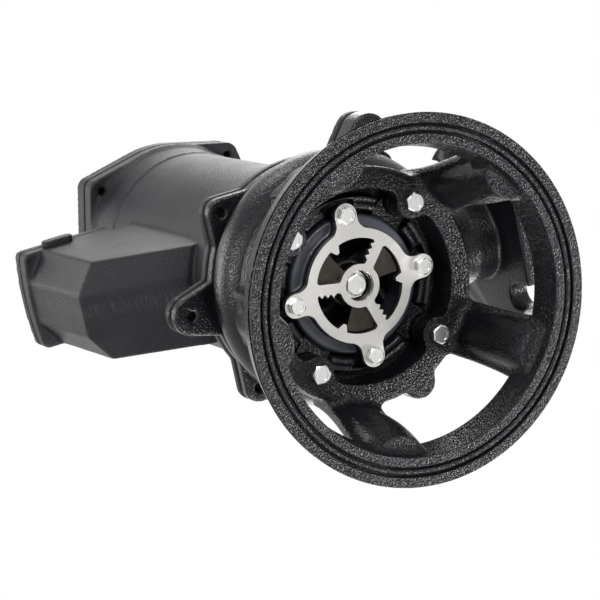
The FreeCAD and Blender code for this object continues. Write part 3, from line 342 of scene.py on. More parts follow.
def stretched_noise(tree, where, scale, detail=2.0):
    """Noise with a size of its own along each axis."""
    stretch = put(tree, "ShaderNodeMapping")
    stretch.inputs["Scale"].default_value = scale
    tree.links.new(where, stretch.inputs["Vector"])
    return noise(tree, stretch.outputs["Vector"], 1.0, detail).outputs["Fac"]


# Shader groups

def make_cast_grain():
    """Sand-cast skin under paint: pimples that run together, their tops for a painted glint, slower
    unevenness and pale specks.
    """
    group, source, result = new_group("cast_grain", {"Pimples": 600.0},
                                      ("Height", "PeakGlints", "Patches", "Specks"))
    where = object_place(group)
    warp = noise(group, where, 220.0, detail=1.0)
    warp_by = 0.0016
    bend = put(group, "ShaderNodeVectorMath", operation="MULTIPLY_ADD")
    bend.inputs[1].default_value = (warp_by, warp_by, warp_by)
    group.links.new(warp.outputs["Color"], bend.inputs[0])
    group.links.new(where, bend.inputs[2])
    cells = put(group, "ShaderNodeTexVoronoi", feature="SMOOTH_F1")
    cells.inputs["Smoothness"].default_value = 0.4
    group.links.new(bend.outputs[0], cells.inputs["Vector"])
    group.links.new(source.outputs["Pimples"], cells.inputs["Scale"])
    fine = noise(group, where, 1.0, detail=3.0)
    group.links.new(times(group, source.outputs["Pimples"], 1.9), fine.inputs["Scale"])
    slow = noise(group, where, 45.0, detail=4.0)
    domes = fall(group, cells.outputs["Distance"], 0.0, 0.75)
    height = math_node(group, "ADD", times(group, domes, 0.7),
                       times(group, fine.outputs["Fac"], 0.3))
    dots = put(group, "ShaderNodeTexVoronoi")
    dots.inputs["Scale"].default_value = 330.0
    group.links.new(where, dots.inputs["Vector"])
    near = fall(group, dots.outputs["Distance"], 0.10, 0.16)
    some = put(group, "ShaderNodeSeparateColor")
    group.links.new(dots.outputs["Color"], some.inputs["Color"])
    chosen = rise(group, some.outputs["Red"], 0.66, 0.72)
    group.links.new(height, result.inputs["Height"])
    # The pimples' tops, which the paints lighten as a painted glint
    group.links.new(rise(group, height, 0.52, 0.78), result.inputs["PeakGlints"])
    group.links.new(rise(group, slow.outputs["Fac"], 0.35, 0.7), result.inputs["Patches"])
    group.links.new(times(group, near, chosen), result.inputs["Specks"])
    return group


def make_edge_wear_and_highlight():
    """Where an edge stands proud: its paint or polish rubbed, and a painted highlight along it."""
    group, source, result = new_group("edge_wear_and_highlight", {"Reach": 1.0}, ("Mask",))
    shape = put(group, "ShaderNodeNewGeometry")
    breaks = noise(group, object_place(group), 160.0, detail=4.0)
    proud = rise(group, shape.outputs["Pointiness"], 0.522, 0.585)
    patchy = span(group, breaks.outputs["Fac"], 0.35, 0.6, 0.25, 1.0)
    # Mask of proud edges that the finishes paint lighter: partly wear, partly a painted highlight
    worn_and_lit_edges = times(group, times(group, proud, patchy), source.outputs["Reach"], clamp=True)
    group.links.new(worn_and_lit_edges, result.inputs["Mask"])
    return group


def make_brush_lines():
    """Fine straight lines that a belt leaves in metal, under a slow cloudiness."""
    group, source, result = new_group("brush_lines", {"Turn": 0.0}, ("Height", "Tone"))
    where = object_place(group)
    turn = put(group, "ShaderNodeVectorRotate", rotation_type="Z_AXIS")
    group.links.new(where, turn.inputs["Vector"])
    group.links.new(source.outputs["Turn"], turn.inputs["Angle"])
    lines = stretched_noise(group, turn.outputs["Vector"], (70.0, 3400.0, 900.0), detail=3.0)
    cloud = noise(group, where, 70.0)
    tone = math_node(group, "ADD", times(group, lines, 0.65),
                     times(group, cloud.outputs["Fac"], 0.35))
    group.links.new(lines, result.inputs["Height"])
    group.links.new(rise(group, tone, 0.35, 0.65), result.inputs["Tone"])
    return group


def make_smudges_and_corner_shade():
    """Thin handling marks, and a mask of the corners and hollows where shade falls, which some
    finishes paint darker as painted shade.
    """
    group, source, result = new_group("smudges_and_corner_shade", {"Reach": 0.006}, ("CornerShade", "Smudge"))
    hollow = put(group, "ShaderNodeAmbientOcclusion", samples=4)
    group.links.new(source.outputs["Reach"], hollow.inputs["Distance"])
    smear = noise(group, object_place(group), 28.0, detail=6.0, distortion=0.8)
    group.links.new(fall(group, hollow.outputs["AO"], 0.3, 0.95), result.inputs["CornerShade"])
    group.links.new(rise(group, smear.outputs["Fac"], 0.4, 0.68), result.inputs["Smudge"])
    return group


CAST_GRAIN = make_cast_grain()
EDGE_WEAR_AND_HIGHLIGHT = make_edge_wear_and_highlight()
BRUSH_LINES = make_brush_lines()
SMUDGES_AND_CORNER_SHADE = make_smudges_and_corner_shade()


# Materials

SPECK_COLOUR = (0.06, 0.06, 0.06)
STROKE_COLOUR = (0.032, 0.032, 0.034)
# Colour of proud edges: partly rubbed paint, partly a painted highlight
WORN_AND_LIT_EDGE_COLOUR = (0.16, 0.16, 0.165)


def new_material(name):
    material = bpy.data.materials.new(name)
    material.use_nodes = True
    tree = material.node_tree
    return material, tree, tree.nodes["Principled BSDF"]


def use_group(tree, group, **inputs):
    node = put(tree, "ShaderNodeGroup", node_tree=group)
    for label, value in inputs.items():
        node.inputs[label].default_value = value
    return node


def mix_colour(tree, mask, first, second):
    """first where the mask is 0 and second where it is 1; each is a colour or a socket."""
    node = put(tree, "ShaderNodeMix", data_type="RGBA")
    tree.links.new(mask, node.inputs["Factor"])
    # The colour sockets of this node, which shares its labels among all its kinds
    for socket, value in ((node.inputs[6], first), (node.inputs[7], second)):
        if isinstance(value, tuple):
            socket.default_value = (*value, 1.0)
        else:
            tree.links.new(value, socket)
    return node.outputs[2]


def scaled(colour, factor):
    return tuple(min(1.0, part * factor) for part in colour)


def bump(tree, shader, height, depth):
    node = put(tree, "ShaderNodeBump")
    node.inputs["Strength"].default_value = 1.0
    node.inputs["Distance"].default_value = depth
    tree.links.new(height, node.inputs["Height"])
    tree.links.new(node.outputs["Normal"], shader.inputs["Normal"])


def parting_strokes(tree):
    """A mask of short file strokes across the parting line of the side box, near its middle."""
    where = object_place(tree)
    line_y, full, gone = -0.003, 0.003, 0.0065
    split = put(tree, "ShaderNodeSeparateXYZ")
    tree.links.new(where, split.inputs["Vector"])
    away = math_node(tree, "ABSOLUTE", math_node(tree, "ADD", split.outputs["Y"], -line_y))
    strokes = stretched_noise(tree, where, (1500.0, 60.0, 1500.0))
    return times(tree, fall(tree, away, full, gone), rise(tree, strokes, 0.50, 0.62))


def painted_casting(name, colour, light, pimples, depth, rough, edge_wear_and_light, shine, parting=False):
    """Black paint over a sand-cast skin."""
    material, tree, shader = new_material(name)
    grain = use_group(tree, CAST_GRAIN, Pimples=pimples)
    worn_and_lit_edges = use_group(tree, EDGE_WEAR_AND_HIGHLIGHT, Reach=edge_wear_and_light)
    smudges_and_corner_shade = use_group(tree, SMUDGES_AND_CORNER_SHADE, Reach=0.008)
    # The pimples' tops are painted lighter: a painted glint on the grain
    base = mix_colour(tree, times(tree, grain.outputs["PeakGlints"], 0.8), colour, light)
    dusty = mix_colour(tree, times(tree, smudges_and_corner_shade.outputs["Smudge"], 0.12), base, scaled(light, 1.7))
    marked = mix_colour(tree, times(tree, grain.outputs["Specks"], 0.7), dusty, SPECK_COLOUR)
    if parting:
        marked = mix_colour(tree, parting_strokes(tree), marked, STROKE_COLOUR)
    # Proud edges are painted lighter: partly rubbed paint, partly a painted highlight along the
    # edge
    with_worn_and_lit_edges = mix_colour(tree, worn_and_lit_edges.outputs["Mask"], marked, WORN_AND_LIT_EDGE_COLOUR)
    tree.links.new(with_worn_and_lit_edges, shader.inputs["Base Color"])
    uneven = span(tree, grain.outputs["Patches"], 0.0, 1.0, rough - 0.02, rough + 0.03)
    duller = times(tree, smudges_and_corner_shade.outputs["CornerShade"], 0.3)
    tree.links.new(math_node(tree, "ADD", uneven, duller, True), shader.inputs["Roughness"])
    bump(tree, shader, grain.outputs["Height"], depth)
    shader.inputs["Specular IOR Level"].default_value = shine
    return material


def brushed_metal(name, dark, light, rough, turn, depth=0.00003):
    """Metal with fine lines, turned about Z by an angle in radians."""
    material, tree, shader = new_material(name)
    lines = use_group(tree, BRUSH_LINES, Turn=turn)
    worn_and_lit_edges = use_group(tree, EDGE_WEAR_AND_HIGHLIGHT, Reach=0.6)
    base = mix_colour(tree, lines.outputs["Tone"], dark, light)
    # Proud edges are painted lighter: partly polished by wear, partly a painted highlight
    polished_and_lit_edges = mix_colour(tree, worn_and_lit_edges.outputs["Mask"], base, scaled(light, 1.12))
    tree.links.new(polished_and_lit_edges, shader.inputs["Base Color"])
    tree.links.new(span(tree, lines.outputs["Tone"], 0.0, 1.0, rough + 0.06, rough - 0.05),
                   shader.inputs["Roughness"])
    shader.inputs["Metallic"].default_value = 1.0
    bump(tree, shader, lines.outputs["Height"], depth)
    return material


def smooth_coat(name, colour, light, rough, pimples, depth, shine=0.5):
    """A smooth even coat with slight mottling and painted shade in its corners, for moulded, rubber
    and sprayed surfaces.
    """
    material, tree, shader = new_material(name)
    grain = use_group(tree, CAST_GRAIN, Pimples=pimples)
    smudges_and_corner_shade = use_group(tree, SMUDGES_AND_CORNER_SHADE, Reach=0.004)
    base = mix_colour(tree, grain.outputs["Patches"], colour, light)
    # Corners and hollows are painted darker: painted shade
    shaded_in_corners = mix_colour(tree, times(tree, smudges_and_corner_shade.outputs["CornerShade"], 0.6), base, scaled(colour, 0.45))
    tree.links.new(shaded_in_corners, shader.inputs["Base Color"])
    tree.links.new(span(tree, smudges_and_corner_shade.outputs["Smudge"], 0.0, 1.0, rough - 0.04, rough + 0.08),
                   shader.inputs["Roughness"])
    bump(tree, shader, grain.outputs["Height"], depth)
    shader.inputs["Specular IOR Level"].default_value = shine
    return material


def banded_metal(name, colour, light, wave_kind, scale, distortion, rough, metallic, depth):
    """Wire wound round the shaft, or thin sheets stacked along it."""
    material, tree, shader = new_material(name)
    wave = put(tree, "ShaderNodeTexWave", **wave_kind)
    wave.inputs["Scale"].default_value = scale
    wave.inputs["Distortion"].default_value = distortion
    tree.links.new(object_place(tree), wave.inputs["Vector"])
    bands = mix_colour(tree, wave.outputs["Fac"], colour, light)
    tree.links.new(bands, shader.inputs["Base Color"])
    shader.inputs["Roughness"].default_value = rough
    shader.inputs["Metallic"].default_value = metallic
    bump(tree, shader, wave.outputs["Fac"], depth)
    return material


COARSE_PAINT = painted_casting(
    "coarse_black_casting", colour=(0.0035, 0.0035, 0.0050), light=(0.016, 0.016, 0.020),
    pimples=600.0, depth=0.00062, rough=0.18, edge_wear_and_light=1.0, shine=0.20)
SAND_PAINT = painted_casting(
    "sanded_black_casting", colour=(0.0040, 0.0040, 0.0056), light=(0.019, 0.019, 0.023),
    pimples=720.0, depth=0.00050, rough=0.17, edge_wear_and_light=0.9, shine=0.20)
RING_PAINT = painted_casting(
    "ring_black_casting", colour=(0.0045, 0.0045, 0.0062), light=(0.024, 0.024, 0.029),
    pimples=680.0, depth=0.00062, rough=0.16, edge_wear_and_light=0.0, shine=0.24)
SCROLL_PAINT = painted_casting(
    "scroll_black_casting", colour=(0.0050, 0.0050, 0.0068), light=(0.015, 0.015, 0.019),
    pimples=680.0, depth=0.00030, rough=0.24, edge_wear_and_light=0.25, shine=0.28)
FINE_COAT = {"colour": (0.0105, 0.0105, 0.0128), "light": (0.0160, 0.0160, 0.0190),
             "pimples": 900.0, "depth": 0.00030, "rough": 0.40, "shine": 0.18}
FINE_PAINT = painted_casting("fine_black_casting", edge_wear_and_light=0.5, **FINE_COAT)
BOX_PAINT = painted_casting("box_black_casting", edge_wear_and_light=0.7, parting=True, **FINE_COAT)

COVER_COAT = smooth_coat(
    "blue_grey_coat", colour=(0.030, 0.034, 0.046), light=(0.036, 0.041, 0.055),
    rough=0.36, pimples=1300.0, depth=0.00004)
RUBBER = smooth_coat(
    "gasket_rubber", colour=(0.004, 0.004, 0.004), light=(0.007, 0.007, 0.007),
    rough=0.8, pimples=1500.0, depth=0.00005, shine=0.08)
# Black for bolt shanks down in their holes: painted shade where light doesn't reach
THREAD_IN_SHADE = smooth_coat(
    "thread_black_as_painted_shade", colour=(0.002, 0.002, 0.002), light=(0.004, 0.004, 0.004),
    rough=0.7, pimples=1500.0, depth=0.00005, shine=0.06)
PLASTIC = smooth_coat(
    "black_moulding", colour=(0.014, 0.014, 0.015), light=(0.020, 0.020, 0.021),
    rough=0.42, pimples=1600.0, depth=0.00006)
CERAMIC = smooth_coat(
    "lapped_ceramic", colour=(0.70, 0.69, 0.65), light=(0.76, 0.75, 0.71),
    rough=0.2, pimples=900.0, depth=0.00001)

BRUSHED = brushed_metal(
    "brushed_stainless", dark=(0.41, 0.40, 0.385), light=(0.52, 0.51, 0.49), rough=0.36, turn=0.35)
BRIGHT = brushed_metal(
    "bright_stainless", dark=(0.56, 0.56, 0.55), light=(0.74, 0.74, 0.72), rough=0.22, turn=1.1)
DARK_STEEL = brushed_metal(
    "ground_cutter_steel", dark=(0.020, 0.017, 0.014), light=(0.058, 0.050, 0.042),
    rough=0.38, turn=0.8, depth=0.00004)
GROUND = brushed_metal(
    "ground_shaft_steel", dark=(0.52, 0.52, 0.52), light=(0.66, 0.66, 0.66), rough=0.26, turn=1.57)
POLISHED = brushed_metal(
    "polished_bearing_steel", dark=(0.62, 0.62, 0.62), light=(0.72, 0.72, 0.72),
    rough=0.16, turn=0.0, depth=0.00001)
BRASS = brushed_metal(
    "turned_brass", dark=(0.56, 0.43, 0.20), light=(0.68, 0.54, 0.27), rough=0.28, turn=1.57)
CAN = brushed_metal(
    "drawn_aluminium", dark=(0.62, 0.62, 0.63), light=(0.72, 0.72, 0.73), rough=0.35, turn=1.57)

COPPER = banded_metal(
    "enamelled_copper", colour=(0.20, 0.075, 0.03), light=(0.46, 0.20, 0.09),
    wave_kind={"wave_type": "RINGS", "rings_direction": "Z"}, scale=190.0, distortion=2.5,
    rough=0.35, metallic=0.6, depth=0.0005)
SHEETS = banded_metal(
    "stacked_sheet_steel", colour=(0.12, 0.12, 0.125), light=(0.26, 0.26, 0.27),
    wave_kind={"wave_type": "BANDS", "bands_direction": "Z"}, scale=320.0, distortion=0.0,
    rough=0.45, metallic=0.9, depth=0.0002)

NODES_BY_FINISH = (
    (RUBBER, ("joint_gasket", "cap_gasket", "box_cover_gasket", "cable_gland_bushing",
              "lower_seal_head", "upper_seal_head")),
    (CERAMIC, ("lower_seal_seat", "upper_seal_seat")),
    (POLISHED, ("lower_bearing_outer_ring", "lower_bearing_inner_ring",
                "upper_bearing_outer_ring", "upper_bearing_inner_ring", "wave_spring")),
    (GROUND, ("shaft", "impeller_key", "start_gear_shelf", "lifting_handle")),
    (SHEETS, ("rotor_core", "stator_core")),
    (COPPER, ("stator_windings",)),
    (CAN, ("run_capacitor",)),
    (PLASTIC, ("start_capacitor", "start_relay", "box_side_plug")),
    (BRIGHT, ("joint_bolts", "cap_screws", "box_cover_screws", "stand_bolts",
              "cutter_plate_screws", "cutter_bolt", "cutter_washer")),
    (BRASS, ("cable_gland_body", "cable_gland_nut")),
    (DARK_STEEL, ("rotating_cutter",)),
    (BRUSHED, ("cutter_plate",)),
    (SAND_PAINT, ("leg_stand",)),
    (SCROLL_PAINT, ("volute_casing",)),
    (COVER_COAT, ("suction_cover",)),
    (FINE_PAINT, ("seal_housing", "impeller", "motor_housing", "motor_cap", "box_cover")),
)
for finish, node_names in NODES_BY_FINISH:
    for node_name in node_names:
        mesh = frame["nodes"][node_name].data
        mesh.materials.clear()
        mesh.materials.append(finish)


# Finishes: a material and the record's slot for it
CAST_SANDED = (SAND_PAINT, "cast_coarse")
CAST_RING = (RING_PAINT, "cast_coarse")
CAST_SCROLL = (SCROLL_PAINT, "cast_coarse")
CAST_FINE = (FINE_PAINT, "cast_fine")
COVER = (COVER_COAT, "cover_coat")
PLATE = (BRUSHED, "stainless_plate")
BOLT = (BRIGHT, "stainless_bolt")
CUTTER = (DARK_STEEL, "cutter_steel")


# Castings

def in_ring(point):
    """True on and just inside the surface of the foot ring."""
    outside, inside, above = 0.4, 0.25, 0.25
    reach = off_axis(point) / MM
    height = point.z / MM
    share = min(max(height / RING_HEIGHT, 0.0), 1.0)
    outer = RING_OUTER + share * (RING_TOP_OUTER - RING_OUTER) + outside
    inner = RING_INNER + share * (RING_TOP_INNER - RING_INNER) - inside
    return inner < reach < outer and height < RING_HEIGHT + above


def foot_ring():
    """The ring with its sharp groove and bead: a disc inset into rings, hollowed and grooved."""
    near = 0.1
    ring = cylinder(RING_OUTER, 0.0, RING_HEIGHT, vertices=240)
    select_faces(ring, lambda centre, normal: normal.z < -0.9)
    for step in (RING_OUTER - GROOVE_OUTER, GROOVE_OUTER - GROOVE_INNER, GROOVE_INNER - RING_INNER):
        bpy.ops.mesh.inset(thickness=step * MM)
    bpy.ops.mesh.delete(type="FACE")
    select_faces(ring, lambda centre, normal: normal.z > 0.9)
    bpy.ops.mesh.inset(thickness=(RING_OUTER - RING_INNER) * MM)
    bpy.ops.mesh.delete(type="FACE")
    select_points(ring, lambda point: off_axis(point) < (RING_INNER + near) * MM)
    bpy.ops.mesh.bridge_edge_loops()
    for foot_r, top_r, side in ((RING_OUTER, RING_TOP_OUTER, 1), (RING_INNER, RING_TOP_INNER, -1)):
        select_points(ring, lambda point: point.z > (RING_HEIGHT - near) * MM
                      and side * (off_axis(point) - foot_r * MM) > -near * MM)
        scale = top_r / foot_r
        bpy.ops.transform.resize(value=(scale, scale, 1.0), center_override=(0, 0, 0))
    select_faces(ring, lambda centre, normal: normal.z < -0.9
                 and GROOVE_INNER * MM < off_axis(centre) < GROOVE_OUTER * MM)
    bpy.ops.mesh.extrude_region_move(TRANSFORM_OT_translate={"value": (0, 0, GROOVE_DEPTH * MM)})
    bpy.ops.mesh.select_all(action="SELECT")
    bpy.ops.mesh.normals_make_consistent(inside=False)
    leave_edit()
    break_edges(ring, 0.7, 3, 30)
    middle = (GROOVE_OUTER + GROOVE_INNER) / 2
    bpy.ops.mesh.primitive_torus_add(
        major_radius=middle * MM, minor_radius=BEAD_R * MM, major_segments=240,
        minor_segments=20, location=(0, 0, BEAD_HEIGHT * MM))
    return join([ring, bpy.context.object], "foot_ring")


def cap_plate(low, high):
    """The square plate that cap and housing share: a tight skin round a disc and four lobes."""
    past = 1.0
    disc = cylinder(CAP_DISC_R, low, high, vertices=120)
    lobes = [cylinder(CAP_LOBE_R, low, high, at) for at in corners(CAP_BOLT_AT)]
    plate = join([disc, *lobes], "cap_plate")
    only(plate)
    bpy.ops.object.mode_set(mode="EDIT")
    bpy.ops.mesh.select_all(action="SELECT")
    bpy.ops.mesh.convex_hull()
    leave_edit()
    combine(plate, cylinder(CAP_BORE_R, low - past, high + past, vertices=96), "DIFFERENCE")
    for at in corners(CAP_BOLT_AT):
        combine(plate, cylinder(CAP_HOLE_R, low - past, high + past, at), "DIFFERENCE")
    return plate


def on_side_box(point):
    """True on the walls of the side box, between the barrel and its lip."""
    return point.x < BOX_FROM_X * MM and BOX_LOW * MM < point.z < BOX_HIGH * MM


def on_cover_arms(point):
    return off_axis(point) > COVER_ARMS_FROM_R * MM


def on_stand_plate(point):
    return point.z > STAND_PLATE_LOW * MM and off_axis(point) < STAND_PLATE_R * MM


def on_scroll_rim(point):
    return (SCROLL_RIM_LOW * MM < point.z < SCROLL_RIM_HIGH * MM
            and off_axis(point) < SCROLL_RIM_R * MM)


def clear_foot_ring(skin):
    """Draws the stand's skin in behind the foot ring, and above the bottom of its groove."""
    behind, above_groove = 1.0, 1.5
    select_points(skin, in_ring)
    bpy.ops.transform.shrink_fatten(value=-behind * MM)
    clear = (GROOVE_DEPTH + above_groove) * MM
    select_points(skin, lambda point: point.z < clear)
    bpy.ops.transform.resize(value=(1.0, 1.0, 0.0), center_override=(0, 0, clear))
    leave_edit()


def dress_castings():
    """Each casting shown gets a skin with soft edges in place of its sharp solid."""
    castings = (
        ("leg_stand", 1.1, 2, 3.0, CAST_SANDED, COARSE_PAINT, on_stand_plate),
        ("volute_casing", 1.1, 3, 0.0, CAST_SCROLL, COARSE_PAINT, on_scroll_rim),
        ("motor_housing", 1.3, 4, 0.0, CAST_FINE, BOX_PAINT, on_side_box),
        ("motor_cap", 1.1, 3, 0.0, CAST_FINE, None, None),
        ("suction_cover", 0.8, 3, 0.0, COVER, COARSE_PAINT, on_cover_arms),
        ("box_cover", 1.0, 3, 0.0, CAST_FINE, None, None),
    )
    for node, grain, passes, fillet, finish, second, where in castings:
        added = cap_plate(*CAP_PLATES[node]) if node in CAP_PLATES else None
        rounded = on_side_box if node == "motor_housing" else None
        skin = cast_skin(node, node + "_skin", grain * MM, passes, fillet * MM, added, rounded)
        if node == "leg_stand":
            clear_foot_ring(skin)
        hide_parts(node)
        settle(skin, finish)
        if second:
            paint_part(skin, second, where)
    settle(foot_ring(), CAST_RING, smooth=40)


def dress_cutters():
    """The stationary and turning cutters get broken edges."""
    for node, body, finish in (("cutter_plate", BODY, PLATE), ("rotating_cutter", ROTOR, CUTTER)):
        skin = merged_copy(node, node + "_skin")
        break_edges(skin, 0.3, 2, 34)
        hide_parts(node)
        settle(skin, finish, body, smooth=34)


# Bolts, washer and plug

def hex_bolt(size, length, name):
    """A bolt with its seat at z = 0 and its head below, with a chamfered and dished hexagon."""
    flats, head, shank_r = size
    washer_face, dish_depth, tip_length, tip_step = 0.4, 0.35, 1.2, 0.6
    hexagon = cylinder(flats / math.sqrt(3), -head, -washer_face, vertices=6)
    apply_modifier(hexagon, "BEVEL", width=0.3 * MM, segments=2, limit_method="NONE")
    # A cone trims the corners of the head
    face_r = flats * 0.46
    bpy.ops.mesh.primitive_cone_add(
        vertices=72, radius1=face_r * MM, radius2=(face_r + head * 2.6) * MM,
        depth=head * 1.5 * MM, location=(0, 0, -head * 0.25 * MM))
    combine(hexagon, bpy.context.object, "INTERSECT")
    combine(hexagon, cylinder(flats * 0.33, -head - 1.0, -head + dish_depth), "DIFFERENCE")
    collar = cylinder(flats * 0.47, -washer_face - 0.15, 0.0, vertices=64)
    shank = cylinder(shank_r, -washer_face - 0.1, length - tip_length + 0.4)
    tip = cylinder(shank_r - tip_step, length - tip_length, length)
    return join([hexagon, collar, shank, tip], name)


def place_bolts(node, bolt, places, seat, up, body=BODY, thread_in_painted_shade=False):
    """Copies of a bolt at its places, each an x, a y and a turn in degrees.

    The head is below its seat if up is true, and above it if not.
    """
    flip = Matrix.Identity(4) if up else Matrix.Rotation(math.pi, 4, "X")
    thread_from = (seat - 1.0) * MM
    for number, (x, y, turn) in enumerate(places, 1):
        spot = Matrix.Translation((x * MM, y * MM, seat * MM))
        piece = own_copy(bolt, spot @ Matrix.Rotation(math.radians(turn), 4, "Z") @ flip)
        piece.name = f"{node}_{number}"
        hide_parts(node)
        settle(piece, BOLT, body, smooth=30)
        # The shank below the seat is painted black: painted shade in its hole
        if thread_in_painted_shade:
            paint_part(piece, THREAD_IN_SHADE, lambda at: at.z < thread_from)
    bpy.data.objects.remove(bolt)


def dress_bolts():
    """The hex bolts of the stand, the cutter plate, the shaft end, the joint and the cap."""
    stand = [(*polar(STAND_CIRCLE_R, 45 + 90 * i), turn)
             for i, turn in enumerate((8.0, 41.0, 20.0, 3.0))]
    place_bolts("stand_bolts", hex_bolt(STAND_BOLT, 33.5, "stand_bolt"), stand, STAND_SEAT, True)
    plate = [(*polar(PLATE_CIRCLE_R, 90 * i), turn)
             for i, turn in enumerate((12.0, 35.0, 0.0, 24.0))]
    place_bolts("cutter_plate_screws", hex_bolt(SMALL_BOLT, 14.0, "plate_screw"), plate,
                PLATE_SEAT, True)
    place_bolts("cutter_bolt", hex_bolt(CENTRE_BOLT, 34.0, "centre_bolt"), [(0.0, 0.0, 14.0)],
                CENTRE_SEAT, True, ROTOR)
    joint = [(*polar(radius, angle), turn) for radius, angle, turn in (
        (104.0, 180, 10.0), (108.0, 58.5, 25.0), (108.0, -58.5, 5.0),
        (92.5, 135, 33.0), (92.5, 225, 50.0))]
    place_bolts("joint_bolts", hex_bolt(SMALL_BOLT, 14.0, "joint_bolt"), joint, JOINT_SEAT, False,
                thread_in_painted_shade=True)
    cap = [(x, y, turn) for (x, y), turn in zip(corners(CAP_BOLT_AT), (-14.0, 4.0, 26.0, 44.0))]
    place_bolts("cap_screws", hex_bolt(SMALL_BOLT, 20.0, "cap_screw"), cap, CAP_SEAT, False,
                thread_in_painted_shade=True)


def split_washer():
    """The spring washer under the centre bolt, cut through at a slant and sprung open a little."""
    outer_r, inner_r, low, high = 9.9, 4.8, CENTRE_SEAT, 99.9
    ring = cylinder(outer_r, low, high, vertices=96)
    combine(ring, cylinder(inner_r, 97.0, 101.0), "DIFFERENCE")
    bpy.ops.mesh.primitive_cube_add(size=1.0, location=(7.4 * MM, 0, (low + high) / 2 * MM),
                                    rotation=(math.radians(35), 0, 0))
    slit = bpy.context.object
    slit.dimensions = (8 * MM, 0.7 * MM, 6 * MM)
    place_into_mesh(slit)
    combine(ring, slit, "DIFFERENCE")
    break_edges(ring, 0.25, 2, 40)
    ring.name = "cutter_washer_split"
    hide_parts("cutter_washer")
    settle(ring, BOLT, ROTOR, smooth=30)


def side_plug():
    """The painted oblong plug on the box's side: a round bar pulled out both ways."""
    end_r, height, pull = 5.5, 5.2, 7.0
    at = Vector((-123.0, -37.8, 345.5)) * MM
    plug = cylinder(end_r, 0.0, height, vertices=50)
    for side in (-1, 1):
        select_points(plug, lambda point: point.x * side > 0)
        bpy.ops.transform.translate(value=(pull * side * MM, 0, 0))
        leave_edit()
    break_edges(plug, 1.3, 4, 60)
    plug.data.transform(Matrix.Translation(at) @ Matrix.Rotation(math.radians(90), 4, "X"))
    plug.name = "box_side_plug_painted"
    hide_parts("box_side_plug")
    settle(plug, CAST_FINE, smooth=40)


dress_castings()
dress_cutters()
dress_bolts()
split_washer()
side_plug()


# Stage: camera, lamps, floor and world

CAMERA_AT = Vector((-0.7110, -0.3935, -1.3860))
CAMERA_RIGHT = Vector((0.87264, 0.20010, -0.44548))
CAMERA_UP = Vector((0.28180, -0.95133, 0.12470))
CAMERA_BACK = Vector((-0.39885, -0.23435, -0.88657))
LENS, SENSOR = 144, 36
CENTRE = Vector((-0.01, 0.0, 0.2))
WORLD_LIGHT, BACKGROUND = 0.35, 1.0
FLOOR_COLOUR, FLOOR_GLOW = 0.55, 0.6
WHITE = (1.0, 1.0, 1.0, 1.0)


def make_camera():
    data = bpy.data.cameras.new("photo_camera")
    data.lens = LENS
    data.sensor_width = SENSOR
    data.clip_start = 0.05
    data.clip_end = 50
    camera = bpy.data.objects.new("photo_camera", data)
    bpy.context.scene.collection.objects.link(camera)
    turn = Matrix((CAMERA_RIGHT, CAMERA_UP, CAMERA_BACK)).transposed().to_4x4()
    camera.matrix_world = Matrix.Translation(CAMERA_AT) @ turn
    bpy.context.scene.camera = camera


def lamp(name, towards, distance, size, power):
    """A square soft lamp out along a direction from the pump's middle, facing it."""
    data = bpy.data.lights.new(name, "AREA")
    data.shape = "SQUARE"
    data.size = size
    data.energy = power
    thing = bpy.data.objects.new(name, data)
    bpy.context.scene.collection.objects.link(thing)
    way = towards.normalized()
    thing.location = CENTRE + way * distance
    thing.rotation_mode = "QUATERNION"
    thing.rotation_quaternion = (-way).to_track_quat("-Z", "Y")


def make_lamps():
    """Each lamp has a direction, a distance and a width in metres, and a power in watts."""
    right, up, back = CAMERA_RIGHT, CAMERA_UP, CAMERA_BACK
    lamp("key_lamp", up - right * 0.35 - back * 0.05, 1.5, 0.6, 9)
    lamp("front_lamp", back * 0.87 + right * 0.35 + up * 0.35, 1.7, 0.35, 13)
    lamp("brow_lamp", back * 0.89 - right * 0.41 + up * 0.24, 1.7, 0.4, 2)
    lamp("side_lamp", right * 0.95 + back * 0.1 - up * 0.3, 1.7, 0.4, 20)
    lamp("low_lamp", right * 0.5 - up * 0.7 + back * 0.5, 1.7, 0.4, 17)
    lamp("left_lamp", -right + up * 0.1 - back * 0.25, 1.5, 0.8, 12)
    lamp("left_front_lamp", back * 0.66 - right * 0.75, 1.6, 0.45, 11)
    lamp("rim_lamp", Vector((0.5, -0.45, 0.75)), 1.6, 0.9, 10)
    lamp("top_lamp", Vector((0.4, 0.9, 0.6)), 1.6, 1.0, 8)
    lamp("far_lamp", Vector((0.2, 1.0, 0.35)), 1.6, 1.0, 9)


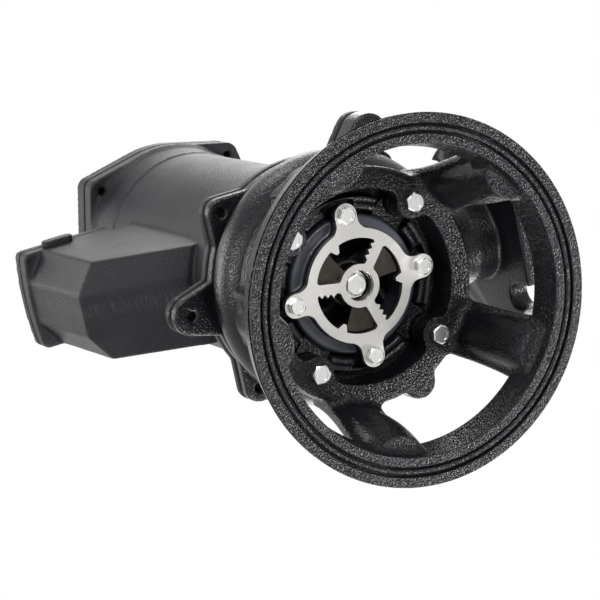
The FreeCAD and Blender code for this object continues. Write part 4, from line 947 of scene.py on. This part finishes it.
def seen_rays(tree):
    """1 for the rays that show the background: straight, off a shiny surface or through glass."""
    path = put(tree, "ShaderNodeLightPath")
    camera, glossy, through = (path.outputs[f"Is {kind} Ray"]
                               for kind in ("Camera", "Glossy", "Transmission"))
    return math_node(tree, "MAXIMUM", math_node(tree, "MAXIMUM", camera, glossy), through)


def choose_shader(tree, mask, first, second, output):
    """first where the mask is 0 and second where it is 1, into the tree's output."""
    choose = put(tree, "ShaderNodeMixShader")
    tree.links.new(mask, choose.inputs["Fac"])
    tree.links.new(first.outputs[0], choose.inputs[1])
    tree.links.new(second.outputs[0], choose.inputs[2])
    tree.links.new(choose.outputs[0], tree.nodes[output].inputs["Surface"])


def make_world():
    """A dim white light all round, behind which the background is seen as plain white."""
    world = bpy.data.worlds.new("studio")
    bpy.context.scene.world = world
    world.use_nodes = True
    tree = world.node_tree
    light = tree.nodes["Background"]
    seen = put(tree, "ShaderNodeBackground")
    for shader, strength in ((light, WORLD_LIGHT), (seen, BACKGROUND)):
        shader.inputs["Color"].default_value = WHITE
        shader.inputs["Strength"].default_value = strength
    choose_shader(tree, seen_rays(tree), light, seen, "World Output")


def make_floor():
    """A pale floor under the foot ring, which isn't there for a camera that looks up from below."""
    bpy.ops.mesh.primitive_plane_add(size=6.0, location=(0, 0, -0.0002))
    floor = bpy.context.object
    floor.name = "floor"
    material, tree, shader = new_material("pale_floor")
    shader.inputs["Base Color"].default_value = (FLOOR_COLOUR, FLOOR_COLOUR, FLOOR_COLOUR, 1.0)
    shader.inputs["Roughness"].default_value = 0.9
    shader.inputs["Emission Color"].default_value = WHITE
    tree.links.new(times(tree, seen_rays(tree), FLOOR_GLOW), shader.inputs["Emission Strength"])
    side = put(tree, "ShaderNodeNewGeometry")
    clear = put(tree, "ShaderNodeBsdfTransparent")
    choose_shader(tree, side.outputs["Backfacing"], shader, clear, "Material Output")
    floor.data.materials.append(material)
    floor.visible_diffuse = False
    floor.visible_glossy = False
    floor.visible_shadow = False


make_camera()
make_lamps()
make_world()
make_floor()
bpy.context.scene.view_settings.view_transform = "Standard"
